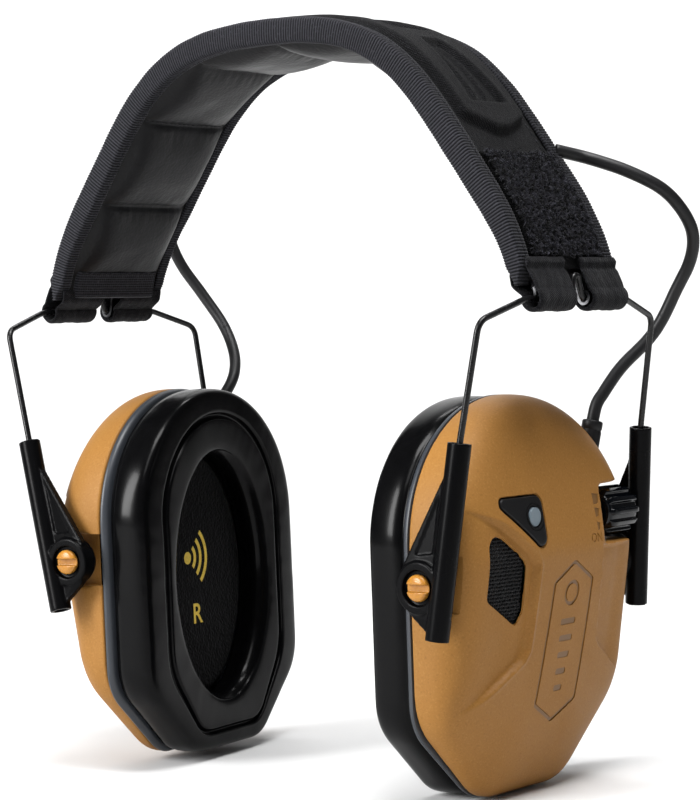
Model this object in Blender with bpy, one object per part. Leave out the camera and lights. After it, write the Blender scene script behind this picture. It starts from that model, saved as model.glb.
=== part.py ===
"""Electronic earmuff hearing protector.

A padded over-the-head band carries a wire bail at each end. Each bail slides in two
moulded arms, the arms hold a cup between two slotted studs, and a cable joins the cups
to the band. +X is the wearer's left, -Y is the front and +Z is up. Every size in this
script is in millimetres and becomes metres when a mesh is made.
"""

import math

import bmesh
import bpy
from mathutils import Matrix, Vector

MM = 0.001
GAP = 0.3

# Frame: the loops that carry the bails lie at this height above the base.
LOOP_HEIGHT = 134.91

# Headband: the radius of its outer face, as harmonics of the angle round the crown.
BAND_HARMONICS = (82.9, 1.63, 1.47, 1.91)
BAND_HALF_WIDTH = 22.9
BAND_END_ANGLE = 2.4
BAND_STEPS = 32
PAD_THICKNESS = 9.6
PAD_EDGE_THICKNESS = 5.8
BINDING_THICKNESS = 0.9
BINDING_LEG = 5.0
NOTCH_HALF_WIDTH = 3.6

# Wire bails.
LOOP_X = 89.0
WIRE_RADIUS = 0.875
BEND_Y = 42.0
BEND_DROP = 5.6
ENTRY_Y = 23.5
KINK_HEIGHT = 6.0

# Arms: a tube beside a round boss, joined by a thin web.
TUBE_RADIUS = 3.15
BORE_RADIUS = 2.35
TUBE_TOP = 38.5
TUBE_BOTTOM = -13.0
TUBE_OFFSET = 6.7
BOSS_RADIUS = 7.0
PIVOT_HALF_SPAN = 47.1
SPLAY = 0.0865
WIRE_IN_TUBE = 19.0

# Cup outline, seen along its outward axis: half widths and heights above the pivots.
CUP_HALF_WIDTH = 42.6
CUP_TOP = 48.5
CUP_SHOULDER = 9.0
CUP_CHAMFER = -37.0
CUP_BOTTOM = -60.5
CUP_BOTTOM_HALF = 18.0
CUP_MIDDLE = -4.0
RIM_N = -7.4
DOME_N = 16.0
DOME_POWER = 3.5
WALL = 2.2
RING_N = -9.9
FACE_N = -22.9

# Pivot centre, toe (turn about the vertical), lean, and the slopes of the front and
# rear arms, for each side.
CUPS = {
    "left": {"sign": 1, "pivot": (70.6, 0.0, -74.3), "toe": 0.0, "lean": 0.9,
             "front_slope": 0.105, "rear_slope": 0.105, "front_bend_x": 86.8, "rear_bend_x": 86.8},
    "right": {"sign": -1, "pivot": (-64.5, 0.0, -73.0), "toe": 8.5, "lean": -1.5,
              "front_slope": 0.32, "rear_slope": 0.10, "front_bend_x": 85.7, "rear_bend_x": 86.8},
}

# Cable: routes from each cup's strain relief to the band's rear edge.
CABLE_RADIUS = 1.8
CABLE_GAP = 0.6
CABLE_ROUTES = {
    "left": [(73.0, 35.6, -27.5), (76.3, 40.2, -19.6), (81.9, 46.3, -12.2), (85.2, 49.2, -6.6), (89.4, 51.0, 1.8),
             (94.9, 50.4, 11.0), (97.2, 46.6, 19.6), (94.0, 39.8, 28.8), (86.6, 33.4, 34.6), (77.4, 28.6, 38.6)],
    "right": [(-71.6, 37.6, -28.2), (-71.4, 43.0, -22.2), (-75.9, 49.0, -14.8), (-82.7, 51.9, -5.5),
              (-90.0, 50.0, 5.0), (-95.6, 45.6, 15.6), (-95.2, 40.0, 25.6), (-88.4, 34.4, 33.4), (-78.2, 28.9, 38.4)],
}
CABLE_END = (70.2, 25.0, 41.0)

COLOURS = {
    "tan_shell": ((0.33, 0.17, 0.055), 0.45, 0.0),
    "black_gloss": ((0.012, 0.012, 0.013), 0.22, 0.0),
    "black_satin": ((0.016, 0.016, 0.018), 0.42, 0.0),
    "blue_grey": ((0.03, 0.037, 0.048), 0.45, 0.0),
    "black_fabric": ((0.018, 0.018, 0.022), 0.9, 0.0),
    "black_leather": ((0.03, 0.03, 0.032), 0.45, 0.0),
    "black_rubber": ((0.015, 0.015, 0.016), 0.6, 0.0),
    "black_wire": ((0.01, 0.01, 0.011), 0.25, 0.6),
    "spring_steel": ((0.42, 0.42, 0.43), 0.3, 1.0),
    "orange_stud": ((0.55, 0.24, 0.05), 0.3, 0.0),
    "foam": ((0.01, 0.01, 0.011), 0.95, 0.0),
    "green_board": ((0.02, 0.12, 0.05), 0.5, 0.0),
    "button_grey": ((0.24, 0.29, 0.34), 0.4, 0.0),
    "steel": ((0.55, 0.55, 0.56), 0.35, 1.0),
}


# ---------------------------------------------------------------- general helpers

def clear_scene():
    """Remove whatever the file holds."""
    for item in list(bpy.data.objects):
        bpy.data.objects.remove(item, do_unlink=True)


def material(name):
    """Return the named Principled material, made on first use."""
    found = bpy.data.materials.get(name)
    if found:
        return found
    colour, roughness, metallic = COLOURS[name]
    made = bpy.data.materials.new(name)
    made.use_nodes = True
    shader = made.node_tree.nodes["Principled BSDF"]
    shader.inputs["Base Color"].default_value = (*colour, 1.0)
    shader.inputs["Roughness"].default_value = roughness
    shader.inputs["Metallic"].default_value = metallic
    return made


def metres(point):
    """Turn a point in millimetres into a vector in metres."""
    return Vector(point) * MM


def frame_point(point):
    """Turn a point measured from the middle of the loops into world metres."""
    return metres((point[0], point[1], point[2] + LOOP_HEIGHT))


def empty(name, matrix, parent=None):
    """Add an empty that marks a joint or a body's frame."""
    item = bpy.data.objects.new(name, None)
    bpy.context.scene.collection.objects.link(item)
    item.parent = parent
    item.matrix_world = matrix
    return item


def finish_mesh(bm, name, slot, matrix=None, sharp=40.0):
    """Turn a bmesh in millimetres into a placed, shaded object."""
    bmesh.ops.recalc_face_normals(bm, faces=bm.faces)
    for vertex in bm.verts:
        vertex.co *= MM
    mesh = bpy.data.meshes.new(name)
    bm.to_mesh(mesh)
    bm.free()
    mesh.materials.append(material(slot))
    mesh.shade_smooth()
    mesh.set_sharp_from_angle(angle=math.radians(sharp))
    item = bpy.data.objects.new(name, mesh)
    bpy.context.scene.collection.objects.link(item)
    if matrix is not None:
        item.matrix_world = matrix
    return item


def cutter(item):
    """Mark an object as a cutter that is not part of the model."""
    item.hide_render = True
    item.display_type = "WIRE"
    return item


def boolean(item, other, operation, solver="EXACT"):
    """Add a live Boolean modifier."""
    step = item.modifiers.new(other.name, "BOOLEAN")
    step.solver = solver
    step.operation = operation
    step.object = cutter(other)
    return item


def loft(rings, closed=False):
    """Skin rings of equal length; a closed loft joins its last ring to its first."""
    bm = bmesh.new()
    rows = [[bm.verts.new(point) for point in ring] for ring in rings]
    count = len(rows[0])
    pairs = list(zip(rows, rows[1:]))
    if closed:
        pairs.append((rows[-1], rows[0]))
    for low, high in pairs:
        for i in range(count):
            j = (i + 1) % count
            bm.faces.new((low[i], low[j], high[j], high[i]))
    if not closed:
        bm.faces.new(rows[0])
        bm.faces.new(list(reversed(rows[-1])))
    return bm


def mirror_x(bm, sign):
    """Mirror a bmesh in X for the right-hand side."""
    if sign < 0:
        for vertex in bm.verts:
            vertex.co.x *= -1
        bmesh.ops.reverse_faces(bm, faces=bm.faces)
    return bm


def circle(centre, radius, axis_u, axis_v, count):
    """Points round a circle that lies in the plane of two unit axes."""
    points = []
    for i in range(count):
        angle = 2 * math.pi * i / count
        points.append(Vector(centre) + axis_u * (radius * math.cos(angle)) + axis_v * (radius * math.sin(angle)))
    return points


def turned(start, axis, profile, count):
    """Turn (distance along the axis, radius) pairs into a closed round solid."""
    axis = Vector(axis).normalized()
    side = Vector((0, 0, 1)) if abs(axis.z) < 0.9 else Vector((1, 0, 0))
    axis_u = axis.cross(side).normalized()
    axis_v = axis.cross(axis_u)
    rings = [circle(Vector(start) + axis * along, radius, axis_u, axis_v, count) for along, radius in profile]
    return loft(rings)


def rod(start, end, radius, count):
    """A plain cylinder between two points."""
    start = Vector(start)
    end = Vector(end)
    return turned(start, end - start, [(0, radius), ((end - start).length, radius)], count)


def box(low, high):
    """An axis-aligned block between two corners."""
    bm = bmesh.new()
    bmesh.ops.create_cube(bm, size=1.0)
    for vertex in bm.verts:
        for k in range(3):
            vertex.co[k] = low[k] if vertex.co[k] < 0 else high[k]
    return bm


def smooth_route(points, spacing):
    """Points at even spacing along a Catmull-Rom curve through the given ones."""
    knots = [Vector(p) for p in points]
    knots = [knots[0] * 2 - knots[1]] + knots + [knots[-1] * 2 - knots[-2]]
    fine = []
    for a, b, c, d in zip(knots, knots[1:], knots[2:], knots[3:]):
        for k in range(24):
            t = k / 24
            fine.append(0.5 * ((2 * b) + (c - a) * t + (2 * a - 5 * b + 4 * c - d) * t * t
                               + (3 * b - a - 3 * c + d) * t ** 3))
    fine.append(knots[-2])
    total = sum((b - a).length for a, b in zip(fine, fine[1:]))
    count = max(2, round(total / spacing))
    return even_points(fine, total, count)


def even_points(fine, total, count):
    """Cut a fine polyline into count equal steps."""
    result = [fine[0]]
    wanted = total / count
    travelled = 0.0
    for a, b in zip(fine, fine[1:]):
        step = (b - a).length
        while travelled + step >= wanted * len(result) - 1e-6 and len(result) < count:
            result.append(a.lerp(b, (wanted * len(result) - travelled) / step))
        travelled += step
    result.append(fine[-1])
    return result


def round_corners(points, radii, steps=2):
    """Replace each inner corner of a polyline with a short arc-like curve."""
    result = [Vector(points[0])]
    for before, corner, after, radius in zip(points, points[1:], points[2:], radii):
        before, corner, after = Vector(before), Vector(corner), Vector(after)
        start = corner + (before - corner).normalized() * radius
        end = corner + (after - corner).normalized() * radius
        for k in range(steps + 1):
            t = k / steps
            result.append(start * (1 - t) ** 2 + corner * 2 * t * (1 - t) + end * t * t)
    result.append(Vector(points[-1]))
    return result


def wire_object(name, points, radius, slot, resolution=2):
    """A round wire or cable along a polyline, as a curve with filled ends."""
    curve = bpy.data.curves.new(name, "CURVE")
    curve.dimensions = "3D"
    curve.bevel_depth = radius * MM
    curve.bevel_resolution = resolution
    curve.use_fill_caps = True
    spline = curve.splines.new("POLY")
    spline.points.add(len(points) - 1)
    for slot_point, point in zip(spline.points, points):
        slot_point.co = (*frame_point(point), 1.0)
    curve.materials.append(material(slot))
    item = bpy.data.objects.new(name, curve)
    bpy.context.scene.collection.objects.link(item)
    return item


# ---------------------------------------------------------------- headband

def band_point(angle, inset):
    """A point (x, z) at an angle above the left end, inset from the band's outer face."""
    def outer(a):
        radius = sum(c * math.cos(2 * k * a) for k, c in enumerate(BAND_HARMONICS))
        return Vector((radius * math.cos(a), radius * math.sin(a)))
    tangent = (outer(angle + 0.002) - outer(angle - 0.002)).normalized()
    return outer(angle) + Vector((-tangent.y, tangent.x)) * inset


def band_sweep(section, start, end, steps):
    """Sweep a closed (y, inset) section along the band between two angles in degrees."""
    rings = []
    for i in range(steps + 1):
        angle = math.radians(start + (end - start) * i / steps)
        points = section(angle) if callable(section) else section
        ring = []
        for y, inset in points:
            x, z = band_point(angle, inset)
            ring.append(Vector((x, y, z)))
        rings.append(ring)
    return loft(rings)


def ribbon(path, thickness, y_low, y_high):
    """A strap of one thickness whose edge-on path lies in the XZ plane."""
    left, right = [], []
    for i, point in enumerate(path):
        a = path[max(i - 1, 0)]
        b = path[min(i + 1, len(path) - 1)]
        normal = Vector((-(b - a).y, (b - a).x)).normalized() * (thickness / 2)
        left.append(point + normal)
        right.append(point - normal)
    rings = []
    for p, q in zip(left, right):
        rings.append([Vector((p.x, y_low, p.y)), Vector((p.x, y_high, p.y)),
                      Vector((q.x, y_high, q.y)), Vector((q.x, y_low, q.y))])
    return loft(rings)


BAND_FRAME = Matrix.Translation(frame_point((0, 0, 0)))
END = BAND_END_ANGLE


def make_cover():
    """The moulded fabric top, with its raised middle ending in points."""
    def section(angle):
        height = math.degrees(angle)
        rise = 2.9 * min(1.0, max(0.0, (min(height, 180 - height) - 31.6) / 5))
        top = 1.3 - rise
        half = 21.6
        return [(-half, 2.3), (-half, 1.3), (-15.5, 1.3), (-13.0, top), (13.0, top),
                (15.5, 1.3), (half, 1.3), (half, 2.3)]
    item = finish_mesh(band_sweep(section, END + 3.0, 177.0 - END, BAND_STEPS), "headband_cover",
                       "black_fabric", BAND_FRAME)
    return cut_notches(item)


def cut_notches(item):
    """Open the notch at each end where the bail's kink stands."""
    for sign in (1, -1):
        low = (LOOP_X * sign - 8, -NOTCH_HALF_WIDTH, -8)
        high = (LOOP_X * sign + 8, NOTCH_HALF_WIDTH, 9.2)
        boolean(item, finish_mesh(box(low, high), "notch_cutter", "foam", BAND_FRAME), "DIFFERENCE")
    return item


def knuckle_path(sign):
    """The spring strip's end: from the band down to the loop axis and round the wire."""
    centre = Vector((LOOP_X, 0.0))
    radius = WIRE_RADIUS + GAP + 0.45
    path = [Vector((85.6, 5.4)), Vector((86.9, 3.2))]
    for k in range(11):
        angle = math.radians(180 + 27 * k)
        path.append(centre + Vector((math.cos(angle), math.sin(angle))) * radius)
    return [Vector((p.x * sign, p.y)) for p in path]


def make_spring_band():
    """The steel strip inside the band, curled into knuckles round both bails."""
    arch = [band_point(math.radians(END + 3.4 + (173.2 - 2 * END) * i / BAND_STEPS), 3.1)
            for i in range(BAND_STEPS + 1)]
    path = list(reversed(knuckle_path(1))) + arch + knuckle_path(-1)
    item = finish_mesh(ribbon(path, 0.8, -17.0, 17.0), "spring_band", "spring_steel", BAND_FRAME)
    return cut_notches(item)


def make_pad():
    """The soft pad under the band, thickest in the middle."""
    section = [(-21.6, 3.9), (21.6, 3.9), (21.6, PAD_EDGE_THICKNESS), (16.4, PAD_EDGE_THICKNESS + 0.4),
               (12.0, PAD_THICKNESS - 0.6), (0.0, PAD_THICKNESS), (-12.0, PAD_THICKNESS - 0.6),
               (-16.4, PAD_EDGE_THICKNESS + 0.4), (-21.6, PAD_EDGE_THICKNESS)]
    return finish_mesh(band_sweep(section, END + 1.0, 179.0 - END, BAND_STEPS), "headband_pad",
                       "black_leather", BAND_FRAME)


def make_binding(name, sign):
    """A ribbed binding that wraps one long edge of the band."""
    edge = BAND_HALF_WIDTH
    inner = edge - BINDING_LEG
    web = edge - BINDING_THICKNESS
    far = PAD_EDGE_THICKNESS + GAP + BINDING_THICKNESS
    section = [(edge, 0.0), (edge, far), (inner + 1.0, far), (inner + 1.0, far - 0.6), (web, far - 0.9),
               (web, BINDING_THICKNESS), (inner, BINDING_THICKNESS), (inner, 0.0)]
    section = [(sign * y, inset) for y, inset in section]
    return finish_mesh(band_sweep(section, END, 180.0 - END, BAND_STEPS), name, "black_fabric", BAND_FRAME)


def make_hook_patch(name, sign):
    """The hook-and-loop closing patch on the outside near one end."""
    section = [(-16.6, 0.95), (-16.6, -0.7), (16.6, -0.7), (16.6, 0.95)]
    span = (9.5, 29.5) if sign > 0 else (150.5, 170.5)
    return finish_mesh(band_sweep(section, *span, 7), name, "black_fabric", BAND_FRAME)


def make_end_loop(name, sign, y_low, y_high):
    """One fabric loop that hangs from the cover and rolls round the knuckle."""
    centre = Vector((LOOP_X, 0.0))
    tail = [band_point(math.radians(8.6), -0.85), band_point(math.radians(5.2), -0.85)]
    path = tail + [Vector((89.9, 3.9))]
    for k in range(10):
        angle = math.radians(58 - 26 * k)
        path.append(centre + Vector((math.cos(angle), math.sin(angle))) * 2.95)
    path = [Vector((p.x * sign, p.y)) for p in path]
    return finish_mesh(ribbon(path, 1.1, y_low, y_high), name, "black_fabric", BAND_FRAME)


def make_hem_strap(name, sign):
    """The ribbed strap sewn across the pad's inner face near one end."""
    low = PAD_THICKNESS + GAP
    half = [(15.6, PAD_EDGE_THICKNESS + 1.3), (12.0, low - 0.3), (0.0, low + 0.1)]
    inner = [(-y, inset) for y, inset in half] + [(y, inset) for y, inset in reversed(half[:2])]
    section = inner + [(y, inset + 0.9) for y, inset in reversed(inner)]
    span = (END + 1.0, END + 7.0) if sign > 0 else (173.0 - END, 179.0 - END)
    return finish_mesh(band_sweep(section, *span, 3), name, "black_fabric", BAND_FRAME)


def make_headband():
    """Every piece that stays with the band."""
    make_cover()
    make_spring_band()
    make_pad()
    make_binding("front_binding", -1)
    make_binding("rear_binding", 1)
    for side, cup in CUPS.items():
        make_hook_patch(side + "_hook_patch", cup["sign"])
        make_hem_strap(side + "_hem_strap", cup["sign"])
        make_end_loop(side + "_front_loop", cup["sign"], -21.5, -NOTCH_HALF_WIDTH - 0.2)
        make_end_loop(side + "_rear_loop", cup["sign"], NOTCH_HALF_WIDTH + 0.2, 21.5)


# ---------------------------------------------------------------- frames of one side

def cup_matrix(cup):
    """The cup's frame: X outward, Y to the rear, Z up, origin on the pivot line."""
    turn = Matrix.Rotation(math.radians(cup["toe"]), 4, "Z")
    tilt = Matrix.Rotation(-cup["sign"] * math.radians(cup["lean"]), 4, "Y")
    return Matrix.Translation(frame_point(cup["pivot"])) @ turn @ tilt


def boss_centre(cup, end):
    """The middle of one arm's boss, from the middle of the loops."""
    toe = math.radians(cup["toe"])
    reach = PIVOT_HALF_SPAN * end
    x, _, z = cup["pivot"]
    return Vector((x - math.sin(toe) * reach, math.cos(toe) * reach, z))


def tube_direction(cup, end):
    """The unit direction that one arm's tube points, upward."""
    slope = cup["front_slope"] if end < 0 else cup["rear_slope"]
    return Vector((cup["sign"] * slope, -end * SPLAY, 1.0)).normalized()


def arm_axes(cup, end):
    """Unit axes of one arm: outboard, along the pivot away from the cup, and up."""
    toe = math.radians(cup["toe"])
    away = Vector((-math.sin(toe), math.cos(toe), 0)) * end
    tube = tube_direction(cup, end)
    up = (tube - away * tube.dot(away)).normalized()
    outboard = away.cross(up) * (cup["sign"] * end)
    return outboard, away, up


def tube_point(cup, end, along):
    """A point on a tube's axis, measured from the middle of the loops."""
    outboard = arm_axes(cup, end)[0]
    return boss_centre(cup, end) + outboard * TUBE_OFFSET + tube_direction(cup, end) * along


def tube_rod(cup, end, low, high, radius, count):
    """A cylinder along a tube's axis, in the arm's own frame."""
    tube = tube_direction(cup, end)
    axes = arm_axes(cup, end)
    direction = Vector((0, tube.dot(axes[1]), tube.dot(axes[2])))
    foot = Vector((TUBE_OFFSET, 0, 0))
    return rod(foot + direction * low, foot + direction * high, radius, count)


def place(bm, origin, axes):
    """Move a bmesh from a local frame, given as three axes, to the loop frame."""
    matrix = Matrix((axes[0], axes[1], axes[2])).transposed().to_4x4()
    matrix.translation = origin
    bm.transform(matrix)
    return bm


# ---------------------------------------------------------------- bails and arms

def make_bail(side, cup):
    """The bent wire that runs from one tube, through the loops, to the other tube."""
    sign = cup["sign"]
    half = []
    for end in (-1, 1):
        bend_x = cup["front_bend_x"] if end < 0 else cup["rear_bend_x"]
        inside = tube_point(cup, end, TUBE_TOP - WIRE_IN_TUBE)
        mouth = tube_point(cup, end, TUBE_TOP)
        bend = Vector((sign * bend_x, end * BEND_Y, -BEND_DROP))
        half.append([inside, mouth, bend, Vector((sign * LOOP_X, end * ENTRY_Y, 0.0)),
                     Vector((sign * LOOP_X, end * 2.9, 0.0)), Vector((sign * LOOP_X, end * 1.0, KINK_HEIGHT))])
    points = half[0] + list(reversed(half[1]))
    radii = [2.0, 2.6, 2.2, 0.8, 0.7]
    radii = radii + list(reversed(radii))
    item = wire_object(side + "_wire_bail", round_corners(points, radii), WIRE_RADIUS, "black_wire")
    return item


def web_outline():
    """The web between tube and boss: (outboard, up) corners, in order."""
    return [(TUBE_OFFSET, 29.0), (3.9, 29.0), (-6.4, 3.2), (-6.6, -2.6), (-2.6, -7.6), (3.9, -11.0),
            (TUBE_OFFSET, -11.0)]


def make_arm(side, cup, end):
    """One moulded arm: tube, web and boss in one piece, with its bore and pivot hole."""
    name = side + ("_front_arm" if end < 0 else "_rear_arm")
    tube = tube_rod(cup, end, TUBE_BOTTOM, TUBE_TOP, TUBE_RADIUS, 12)
    web = loft([[Vector((x, y, z)) for x, z in web_outline()] for y in (-1.2, 1.2)])
    boss = turned((0, -4.0, 0), (0, 1, 0), [(0, 6.4), (1.4, BOSS_RADIUS), (5.9, BOSS_RADIUS), (6.3, 6.6)], 20)
    counterbore = rod((0, 0.75, 0), (0, 4.0, 0), 4.7, 16)
    hole = rod((0, -6.0, 0), (0, 2.0, 0), 2.95, 12)
    bore = tube_rod(cup, end, 8.0, TUBE_TOP + 2, BORE_RADIUS, 10)
    foot = tube_rod(cup, end, TUBE_BOTTOM - 2, TUBE_BOTTOM + 4, BORE_RADIUS, 10)
    axes = arm_axes(cup, end)
    centre = boss_centre(cup, end)

    def solid(bm, label):
        return finish_mesh(place(bm, centre, axes), label, "black_satin", BAND_FRAME)

    arm = solid(tube, name)
    boolean(arm, solid(web, name + "_web"), "UNION")
    boolean(arm, solid(boss, name + "_boss"), "UNION")
    for bm in (counterbore, hole, bore, foot):
        boolean(arm, solid(bm, name + "_cutter"), "DIFFERENCE")
    return arm


# ---------------------------------------------------------------- cup shapes

def cup_outline(inset=0.0):
    """The cup's outline (rear, up): a round top, straight sides and a tapered base."""
    a = CUP_HALF_WIDTH - inset
    points = []
    for k in range(15):
        angle = math.pi * k / 14
        points.append((a * math.cos(angle), CUP_SHOULDER + (CUP_TOP - inset - CUP_SHOULDER) * math.sin(angle)))
    base = CUP_BOTTOM + inset
    foot = CUP_BOTTOM_HALF - inset * 0.45
    heel = CUP_CHAMFER + inset * 0.35
    corners = [(-a, CUP_SHOULDER, 0), (-a, heel, 0), (-foot, base, 0), (foot, base, 0), (a, heel, 0),
               (a, CUP_SHOULDER, 0)]
    lower = round_corners(corners, [7.0, 5.0, 5.0, 7.0], 3)
    points.extend([(-a, -2.0), (-a, -16.0)])
    points.extend((p.x, p.y) for p in lower[1:-1])
    points.extend([(a, -16.0), (a, -2.0)])
    return points


def scaled_outline(scale):
    """The outline shrunk about the middle of the cup."""
    return [(u * scale, CUP_MIDDLE + (w - CUP_MIDDLE) * scale) for u, w in cup_outline()]


def crown(w):
    """How far out the dome's middle line stands at a height on the cup."""
    return DOME_N - 0.21 * max(0.0, 5.0 - w) - 0.15 * max(0.0, w - 8.0)


def dome_n(scale, w):
    """The dome's outward height where the outline is shrunk by a scale."""
    return RIM_N + (crown(w) - RIM_N) * max(0.0, 1 - scale ** DOME_POWER) ** (1 / DOME_POWER)


def dome_at(u, w):
    """The dome's outward height above a point (rear, up)."""
    low, high = 0.0, 1.2
    for _ in range(30):
        middle = (low + high) / 2
        y = CUP_MIDDLE + (w - CUP_MIDDLE) / max(middle, 1e-6)
        x = abs(u) / max(middle, 1e-6)
        inside = outline_half_width(y) >= x
        low, high = (low, middle) if inside else (middle, high)
    return dome_n(min(high, 1.0), w)


def outline_half_width(w):
    """Half the outline's width at a height."""
    if w > CUP_TOP or w < CUP_BOTTOM:
        return -1.0
    if w >= CUP_SHOULDER:
        return CUP_HALF_WIDTH * math.sqrt(max(0.0, 1 - ((w - CUP_SHOULDER) / (CUP_TOP - CUP_SHOULDER)) ** 2))
    if w >= CUP_CHAMFER:
        return CUP_HALF_WIDTH
    part = (CUP_CHAMFER - w) / (CUP_CHAMFER - CUP_BOTTOM)
    return CUP_HALF_WIDTH + (CUP_BOTTOM_HALF - CUP_HALF_WIDTH) * part


OUTER_SCALES = (1.0, 0.994, 0.975, 0.94, 0.88, 0.76, 0.55, 0.2)
INNER_SCALES = (1.0, 0.985, 0.94, 0.84, 0.64, 0.3)


def dome_rings(scales, shrink, sink, rim):
    """Rings of a dome whose outline is shrunk and whose face is sunk."""
    rings = [[Vector((rim, u, w)) for u, w in scaled_outline(shrink)]]
    for scale in scales[1:]:
        ring = []
        for u, w in scaled_outline(scale * shrink):
            ring.append(Vector((dome_n(scale, w) - sink, u, w)))
        rings.append(ring)
    return rings


def oval(n, half_width, half_height, middle, count):
    """Points of an oval in the cup's frame, matched to the outline's points."""
    return [Vector((n, half_width * math.cos(a), middle + half_height * math.sin(a)))
            for a in (2 * math.pi * k / count for k in range(count))]


def matched_oval(n, half_width, half_height, middle):
    """An oval whose points face the outline's points."""
    result = []
    for u, w in cup_outline():
        angle = math.atan2((w - CUP_MIDDLE) / 56.0, u / CUP_HALF_WIDTH)
        result.append(Vector((n, half_width * math.cos(angle), middle + half_height * math.sin(angle))))
    return result


def cup_solid(bm, name, slot, cup, sharp=40.0):
    """Place a piece that was built in a left cup's frame on either side."""
    return finish_mesh(mirror_x(bm, cup["sign"]), name, slot, cup_matrix(cup), sharp)


CHANNEL_FLOOR = 40.4
POCKET_LOW = (-3.2, 24.6, 6.3)
POCKET_HIGH = (40.0, 60.0, 22.6)
RELIEF_BASE = Vector((0.3, 31.4, 27.5))
RELIEF_TOP = Vector((1.6, 34.0, 39.7))
WINDOW = [(-32.4, 7.6), (-28.6, 11.2), (-23.6, 10.9), (-14.0, 3.8), (-15.2, -10.2), (-19.6, -13.2),
          (-26.0, -7.4), (-33.2, -3.4)]
BEZEL = [(-26.6, 21.6), (-12.8, 21.6), (-11.6, 19.8), (-10.8, 8.8), (-12.6, 7.6), (-28.0, 19.6)]
BUTTON_CENTRE = (-15.6, 16.2)
BUTTON_RADIUS = 2.6
DOOR = [(-9.8, 22.4), (22.0, 22.4), (22.0, -1.4), (-9.8, -1.4)]
DOOR_GAP = 0.9
TRIM_GAP = 0.45
KNOB_CENTRE = (5.6, 14.3)
KNOB_RADIUS = 6.5


def offset_polygon(points, distance):
    """Move a polygon's corners away from its middle by about a distance."""
    middle = Vector((sum(p[0] for p in points), sum(p[1] for p in points))) / len(points)
    result = []
    for point in points:
        arm = Vector(point) - middle
        result.append(Vector(point) + arm.normalized() * distance)
    return result


def prism(points, low, high):
    """A straight prism along the outward axis over a polygon."""
    return loft([[Vector((n, p[0], p[1])) for p in points] for n in (low, high)])


def dome_plate(points, under, over, divisions=4):
    """A plate that follows the dome over a polygon, between two depths under it."""
    middle = Vector((sum(p[0] for p in points), sum(p[1] for p in points))) / len(points)
    rings = []
    for depth, scales in ((under, range(1, divisions + 1)), (over, range(divisions, 0, -1))):
        for k in scales:
            ring = []
            for point in points:
                at = middle + (Vector((point[0], point[1])) - middle) * (k / divisions)
                ring.append(Vector((dome_at(at.x, at.y) - depth, at.x, at.y)))
            rings.append(ring)
    return loft(rings)


def make_shell(side, cup):
    """The moulded outer shell with its windows, pivot channels and openings."""
    name = side + "_outer_shell"
    shell = cup_solid(loft(dome_rings(OUTER_SCALES, 1.0, 0.0, RIM_N)), name, "tan_shell", cup)
    inner = cup_solid(loft(dome_rings(INNER_SCALES, 1 - WALL / CUP_HALF_WIDTH, WALL, RIM_N - 3)), name + "_inside", "foam", cup)
    cuts = []
    for end in (-1, 1):
        inner_face, outer_face = end * CHANNEL_FLOOR, end * 50.0
        low, high = min(inner_face, outer_face), max(inner_face, outer_face)
        wall_low, wall_high = min(low, inner_face - end * 1.6), max(high, inner_face - end * 1.6)
        channel = box((-4.2, low, -7.6), (24.0, high, 7.6))
        grown = box((-5.2, wall_low, -9.2), (24.0, wall_high, 9.2))
        cuts.append(cup_solid(channel, name + "_channel", "foam", cup))
        boolean(inner, cup_solid(grown, name + "_channel_wall", "foam", cup), "DIFFERENCE")
    if side == "left":
        grown_low = [value - WALL for value in POCKET_LOW]
        grown_high = [POCKET_HIGH[0], POCKET_HIGH[1], POCKET_HIGH[2] + WALL]
        cuts.append(cup_solid(box(POCKET_LOW, POCKET_HIGH), "pocket", "foam", cup))
        boolean(inner, cup_solid(box(grown_low, grown_high), "pocket_wall", "foam", cup), "DIFFERENCE")
    cuts.append(inner)
    holes = [rod((0, -45, 0), (0, -34, 0), 2.65, 14), rod((0, 34, 0), (0, 45, 0), 2.65, 14),
             prism(offset_polygon(WINDOW, TRIM_GAP), -1, 30), prism(offset_polygon(BEZEL, TRIM_GAP), -1, 30),
             rod(RELIEF_BASE - (RELIEF_TOP - RELIEF_BASE) * 0.3, RELIEF_TOP, 3.4, 14)]
    if side == "left":
        holes.append(rod((KNOB_CENTRE[0], 20, KNOB_CENTRE[1]), (KNOB_CENTRE[0], 26, KNOB_CENTRE[1]), 3.5, 14))
    else:
        holes.append(prism(offset_polygon(DOOR, DOOR_GAP), 0, 30))
    for bm in holes:
        cuts.append(cup_solid(bm, name + "_hole", "foam", cup))
    for item in cuts:
        # The exact solver leaves three open edges on the shells.
        boolean(shell, item, "DIFFERENCE", "MANIFOLD")
    return shell


def make_seat_ring(side, cup):
    """The blue-grey rim that the cushion is seated on."""
    low, high = RING_N, RIM_N - GAP
    rings = [matched_oval(high, 31.0, 44.0, CUP_MIDDLE - 2), matched_oval(low, 31.0, 44.0, CUP_MIDDLE - 2)]
    rings += [[Vector((n, u, w)) for u, w in cup_outline(inset)]
              for n, inset in ((low, 1.2), (low + 0.6, 0.5), (high, 0.3))]
    return cup_solid(loft(rings, closed=True), side + "_seat_ring", "blue_grey", cup)


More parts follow.
